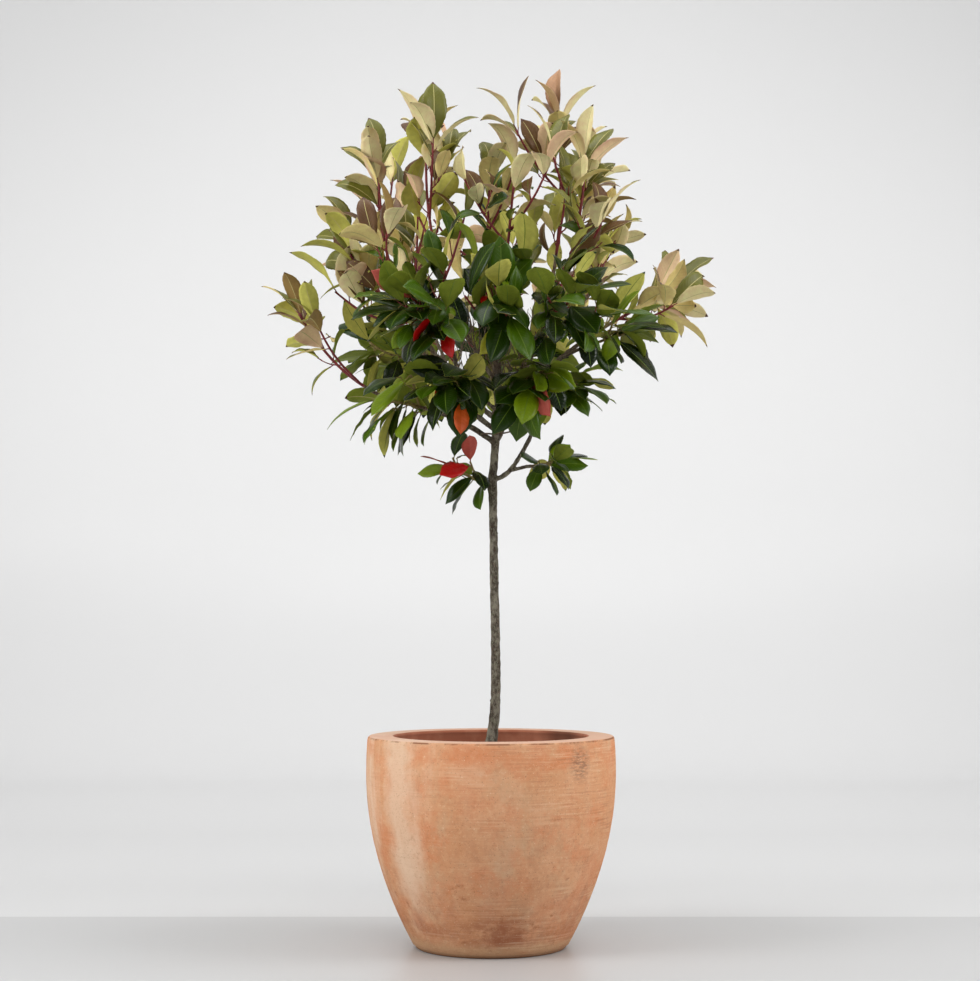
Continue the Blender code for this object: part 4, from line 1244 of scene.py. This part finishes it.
def make_wood(limbs, looks):
    """The trunk and boughs as one grown-together piece."""
    shape = bmesh.new()
    for path, sides in wood_tubes(limbs):
        points, faces = tube(path, sides)
        corners = [shape.verts.new(point) for point in points]
        for face in faces.tolist():
            shape.faces.new([corners[place] for place in dict.fromkeys(face)])
    mesh = bpy.data.meshes.new("wood")
    shape.to_mesh(mesh)
    shape.free()
    item = new_item("wood", mesh)
    remesh = item.modifiers.new("Grown together", "REMESH")
    remesh.mode = "VOXEL"
    remesh.voxel_size = WOOD_VOXEL
    grown = bpy.data.meshes.new_from_object(item.evaluated_get(bpy.context.evaluated_depsgraph_get()))
    item.modifiers.clear()
    item.data = grown
    places = vertex_values(grown, "co")
    relief = np.array([bark_height(Vector(place)) for place in places])
    places = places + vertex_values(grown, "normal") * relief[:, None] * BARK_RELIEF
    places[:, 2] = np.maximum(places[:, 2], SOIL_LEVEL - 0.002)
    grown.vertices.foreach_set("co", places.ravel())
    grown.materials.clear()
    grown.materials.append(looks["bark"])
    grown.shade_smooth()
    grown.update()
    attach(item, "root")
    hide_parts("trunk", *(f"bough_{name}" for name in BOUGHS))


# The pot
POT_SIDES = 160


def pot_outer_radius(height):
    end, radius = (0, POT_FOOT_RADIUS) if height < POT_BELLY_HEIGHT else (POT_HEIGHT, POT_LIP_RADIUS)
    away = (height - POT_BELLY_HEIGHT) / (end - POT_BELLY_HEIGHT)
    return POT_BELLY_RADIUS - (POT_BELLY_RADIUS - radius) * away**2


def pot_inner_radius(height):
    rise = (height - POT_FLOOR) / (POT_HEIGHT - POT_FLOOR)
    return pot_outer_radius(height) - POT_WALL_AT_FLOOR - (POT_LIP_WIDTH - POT_WALL_AT_FLOOR) * rise


def rounded(radius, height, start):
    """The pot's rounding as a clockwise quarter turn about a middle, from a start in quarters."""
    turns = [(start - step / 5) * math.pi / 2 for step in range(6)]
    return [
        (radius + POT_ROUNDING * math.cos(turn), height + POT_ROUNDING * math.sin(turn)) for turn in turns
    ]


def pot_profile():
    """From the inner wall under the compost, over the lip, down the outside and round to the underside."""
    lip = POT_HEIGHT - POT_ROUNDING
    inside = np.linspace(SOIL_LEVEL - 0.012, lip - 0.001, 11)
    outside = np.linspace(lip - 0.002, POT_ROUNDING + 0.002, 61)
    return (
        [(pot_inner_radius(height), height) for height in inside]
        + rounded(pot_inner_radius(POT_HEIGHT) + POT_ROUNDING, lip, 2)
        + rounded(POT_LIP_RADIUS - POT_ROUNDING, lip, 1)
        + [(pot_outer_radius(height), height) for height in outside]
        + rounded(POT_FOOT_RADIUS - POT_ROUNDING, POT_ROUNDING, 0)
    )


def make_pot(looks):
    """The pot, turned on a wheel: its walls wander a little and its lip isn't quite even."""
    profile = pot_profile()
    vertices = []
    for radius, height in profile:
        for corner in range(POT_SIDES):
            turn = math.tau * corner / POT_SIDES
            right = math.cos(turn)
            back = math.sin(turn)
            place = Vector((right * 1.3, back * 1.3, height * 6))
            wander = noise.noise(place) * 0.0008 + noise.noise(place * 6) * 0.0002
            lines = noise.noise(Vector((right * 0.5, back * 0.5, height * 330))) * 0.00018
            out = radius + min(0.0, wander) + lines
            vertices.append((out * right, out * back, height))
    bits = Bits()
    bits.add(vertices, ring_faces(len(profile), POT_SIDES)[:, ::-1], "clay")
    bits.add(vertices[-POT_SIDES:] + [(0, 0, 0)], fan(POT_SIDES, np.arange(POT_SIDES)[::-1]), "clay")
    piece = bits.piece("pot_wall", looks)
    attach(piece, "root")
    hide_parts("pot")


# The compost: the rings and sides of its surface, and the crumbs on it, eight-sided and drawn out
COMPOST_RINGS = 46
COMPOST_SIDES = 120
CRUMBS = 1500
CRUMB_FACES = [(0, 2, 4), (2, 1, 4), (1, 3, 4), (3, 0, 4), (2, 0, 5), (1, 2, 5), (3, 1, 5), (0, 3, 5)]


def crumb(chance, radius):
    """The points of a crumb that lies anywhere on the surface."""
    out = radius * 0.97 * math.sqrt(chance.random())
    turn = chance.uniform(0, math.tau)
    size = chance.uniform(0.0010, 0.0032)
    middle = Vector((out * math.cos(turn), out * math.sin(turn), SOIL_LEVEL - 0.0015))
    spin = chance.uniform(0, math.tau)
    axis = Vector((chance.random(), chance.random(), 1)).normalized()
    long = chance.uniform(1, 2.2)
    corners = [(long, 0, 0), (-long, 0, 0), (0, 1, 0), (0, -1, 0), (0, 0, 0.7), (0, 0, -0.7)]
    turned = Matrix.Rotation(spin, 3, axis)
    return [middle + turned @ Vector(corner) * size * chance.uniform(0.8, 1.2) * 0.7 for corner in corners]


def make_compost(looks):
    """A low, uneven surface of compost with crumbs and chips on it."""
    chance = random.Random(4)
    radius = pot_inner_radius(SOIL_LEVEL) + 0.001
    vertices = []
    for ring in range(1, COMPOST_RINGS + 1):
        for corner in range(COMPOST_SIDES):
            turn = math.tau * corner / COMPOST_SIDES
            out = radius * ring / COMPOST_RINGS
            place = Vector((out * math.cos(turn), out * math.sin(turn), 0))
            bumps = noise.noise(place * 60) * 0.0018 + noise.noise(place * 190) * 0.0011
            vertices.append((place.x, place.y, SOIL_LEVEL - 0.0025 + bumps))
    middle = len(vertices)
    faces = np.roll(ring_faces(COMPOST_RINGS, COMPOST_SIDES)[:, ::-1], 1, 1)
    faces = np.concatenate((faces, fan(middle, np.arange(COMPOST_SIDES))))
    bits = Bits()
    bits.add(vertices + [(0, 0, SOIL_LEVEL - 0.002)], faces, "compost")
    for _ in range(CRUMBS):
        bits.add(crumb(chance, radius), [(*face, face[-1]) for face in CRUMB_FACES], "compost")
    piece = bits.piece("compost_surface", looks)
    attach(piece, "root")
    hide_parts("soil")


# The stage: how far back the near part of the floor ends and the wall stands, and the cove between
FLOOR_EDGE = 0.27
WALL_AT = 3.4
COVE = 0.8


def make_stage():
    """A pale floor that curves up into a pale wall behind."""
    look = Look("stage", 0.38, 0.3, shown(213, 213, 213))
    back = look.parts(look.place())[1]
    for near, far, grey in ((0.3, 1.2, 203), (1.4, 2.7, 230), (2.7, 3.3, 226)):
        look.paint(look.between(back, near, far), shown(grey, grey, grey))
    beyond = look.between(back, FLOOR_EDGE, FLOOR_EDGE + 0.003)
    look.body = look.mix(beyond, shown(195, 195, 195), look.body)
    profile = [(-6.0, 0.0), (-1.5, 0.0), (FLOOR_EDGE, 0.0), (WALL_AT - COVE, 0.0)]
    for step in range(1, 13):
        turn = math.pi / 2 * step / 12
        profile.append((WALL_AT - COVE + COVE * math.sin(turn), COVE - COVE * math.cos(turn)))
    profile.append((WALL_AT, 6.0))
    vertices = [(side * 7.0, way, height) for way, height in profile for side in (-1, 1)]
    faces = [(row * 2, row * 2 + 1, row * 2 + 3, row * 2 + 2) for row in range(len(profile) - 1)]
    mesh = bpy.data.meshes.new("stage")
    mesh.from_pydata(vertices, [], faces)
    mesh.materials.append(look.finish())
    mesh.shade_smooth()
    new_item("stage", mesh)


# Soft light from above and both sides, a little more from the left: each lamp's place, what it is
# turned to, its size and its power
LAMPS = {
    "above": ((0.0, -0.3, 3.2), (0, 0.0, 0.9), (2.4, 2.4), 52),
    "left": ((-2.5, -1.1, 1.7), (0, 0, 0.9), (1.4, 2.2), 52),
    "right": ((2.6, -0.5, 1.6), (0, 0, 0.9), (1.4, 2.2), 47),
    "front": ((0.3, -3.7, 2.1), (0, 0, 1.0), (2.0, 1.4), 20),
    "wall": ((0.0, 0.9, 1.6), (0, 3.4, 1.1), (5.6, 1.5), 30),
}
SURROUND = 0.27


def make_lights():
    """The lamps, in a pale surround."""
    world = bpy.data.worlds.new("surround")
    world.use_nodes = True
    world.node_tree.nodes["Background"].inputs["Color"].default_value = (1, 1, 1, 1)
    world.node_tree.nodes["Background"].inputs["Strength"].default_value = SURROUND
    bpy.context.scene.world = world
    for name, (place, target, (width, height), power) in LAMPS.items():
        light = bpy.data.lights.new(name, "AREA")
        light.shape = "RECTANGLE"
        light.size = width
        light.size_y = height
        light.energy = power
        item = new_item(name, light)
        item.location = place
        item.rotation_euler = (Vector(target) - Vector(place)).to_track_quat("-Z", "Y").to_euler()
        item.visible_camera = False


def make_camera():
    """The photograph's view: 2.88 m in front at 0.47 m height, looking up a little."""
    camera = bpy.data.cameras.new("camera")
    camera.sensor_fit = "HORIZONTAL"
    camera.sensor_width = 36
    camera.lens = 74.97
    item = new_item("camera", camera)
    item.location = (-0.0014, -2.88, 0.4736)
    item.rotation_euler = (math.radians(93.25), 0, 0)
    bpy.context.scene.camera = item
    bpy.context.scene.view_settings.view_transform = "Standard"


def main():
    make_camera()
    make_lights()
    make_stage()
    looks = make_looks()
    make_pot(looks)
    make_compost(looks)
    limbs, crown, fine = grow_plant()
    make_wood(limbs, looks)
    make_thicket(limbs, looks)
    tints = deal_tints(crown, fine)
    for name, mass in MASSES.items():
        make_foliage(name, mass, crown[name], fine[name], tints, looks)


main()
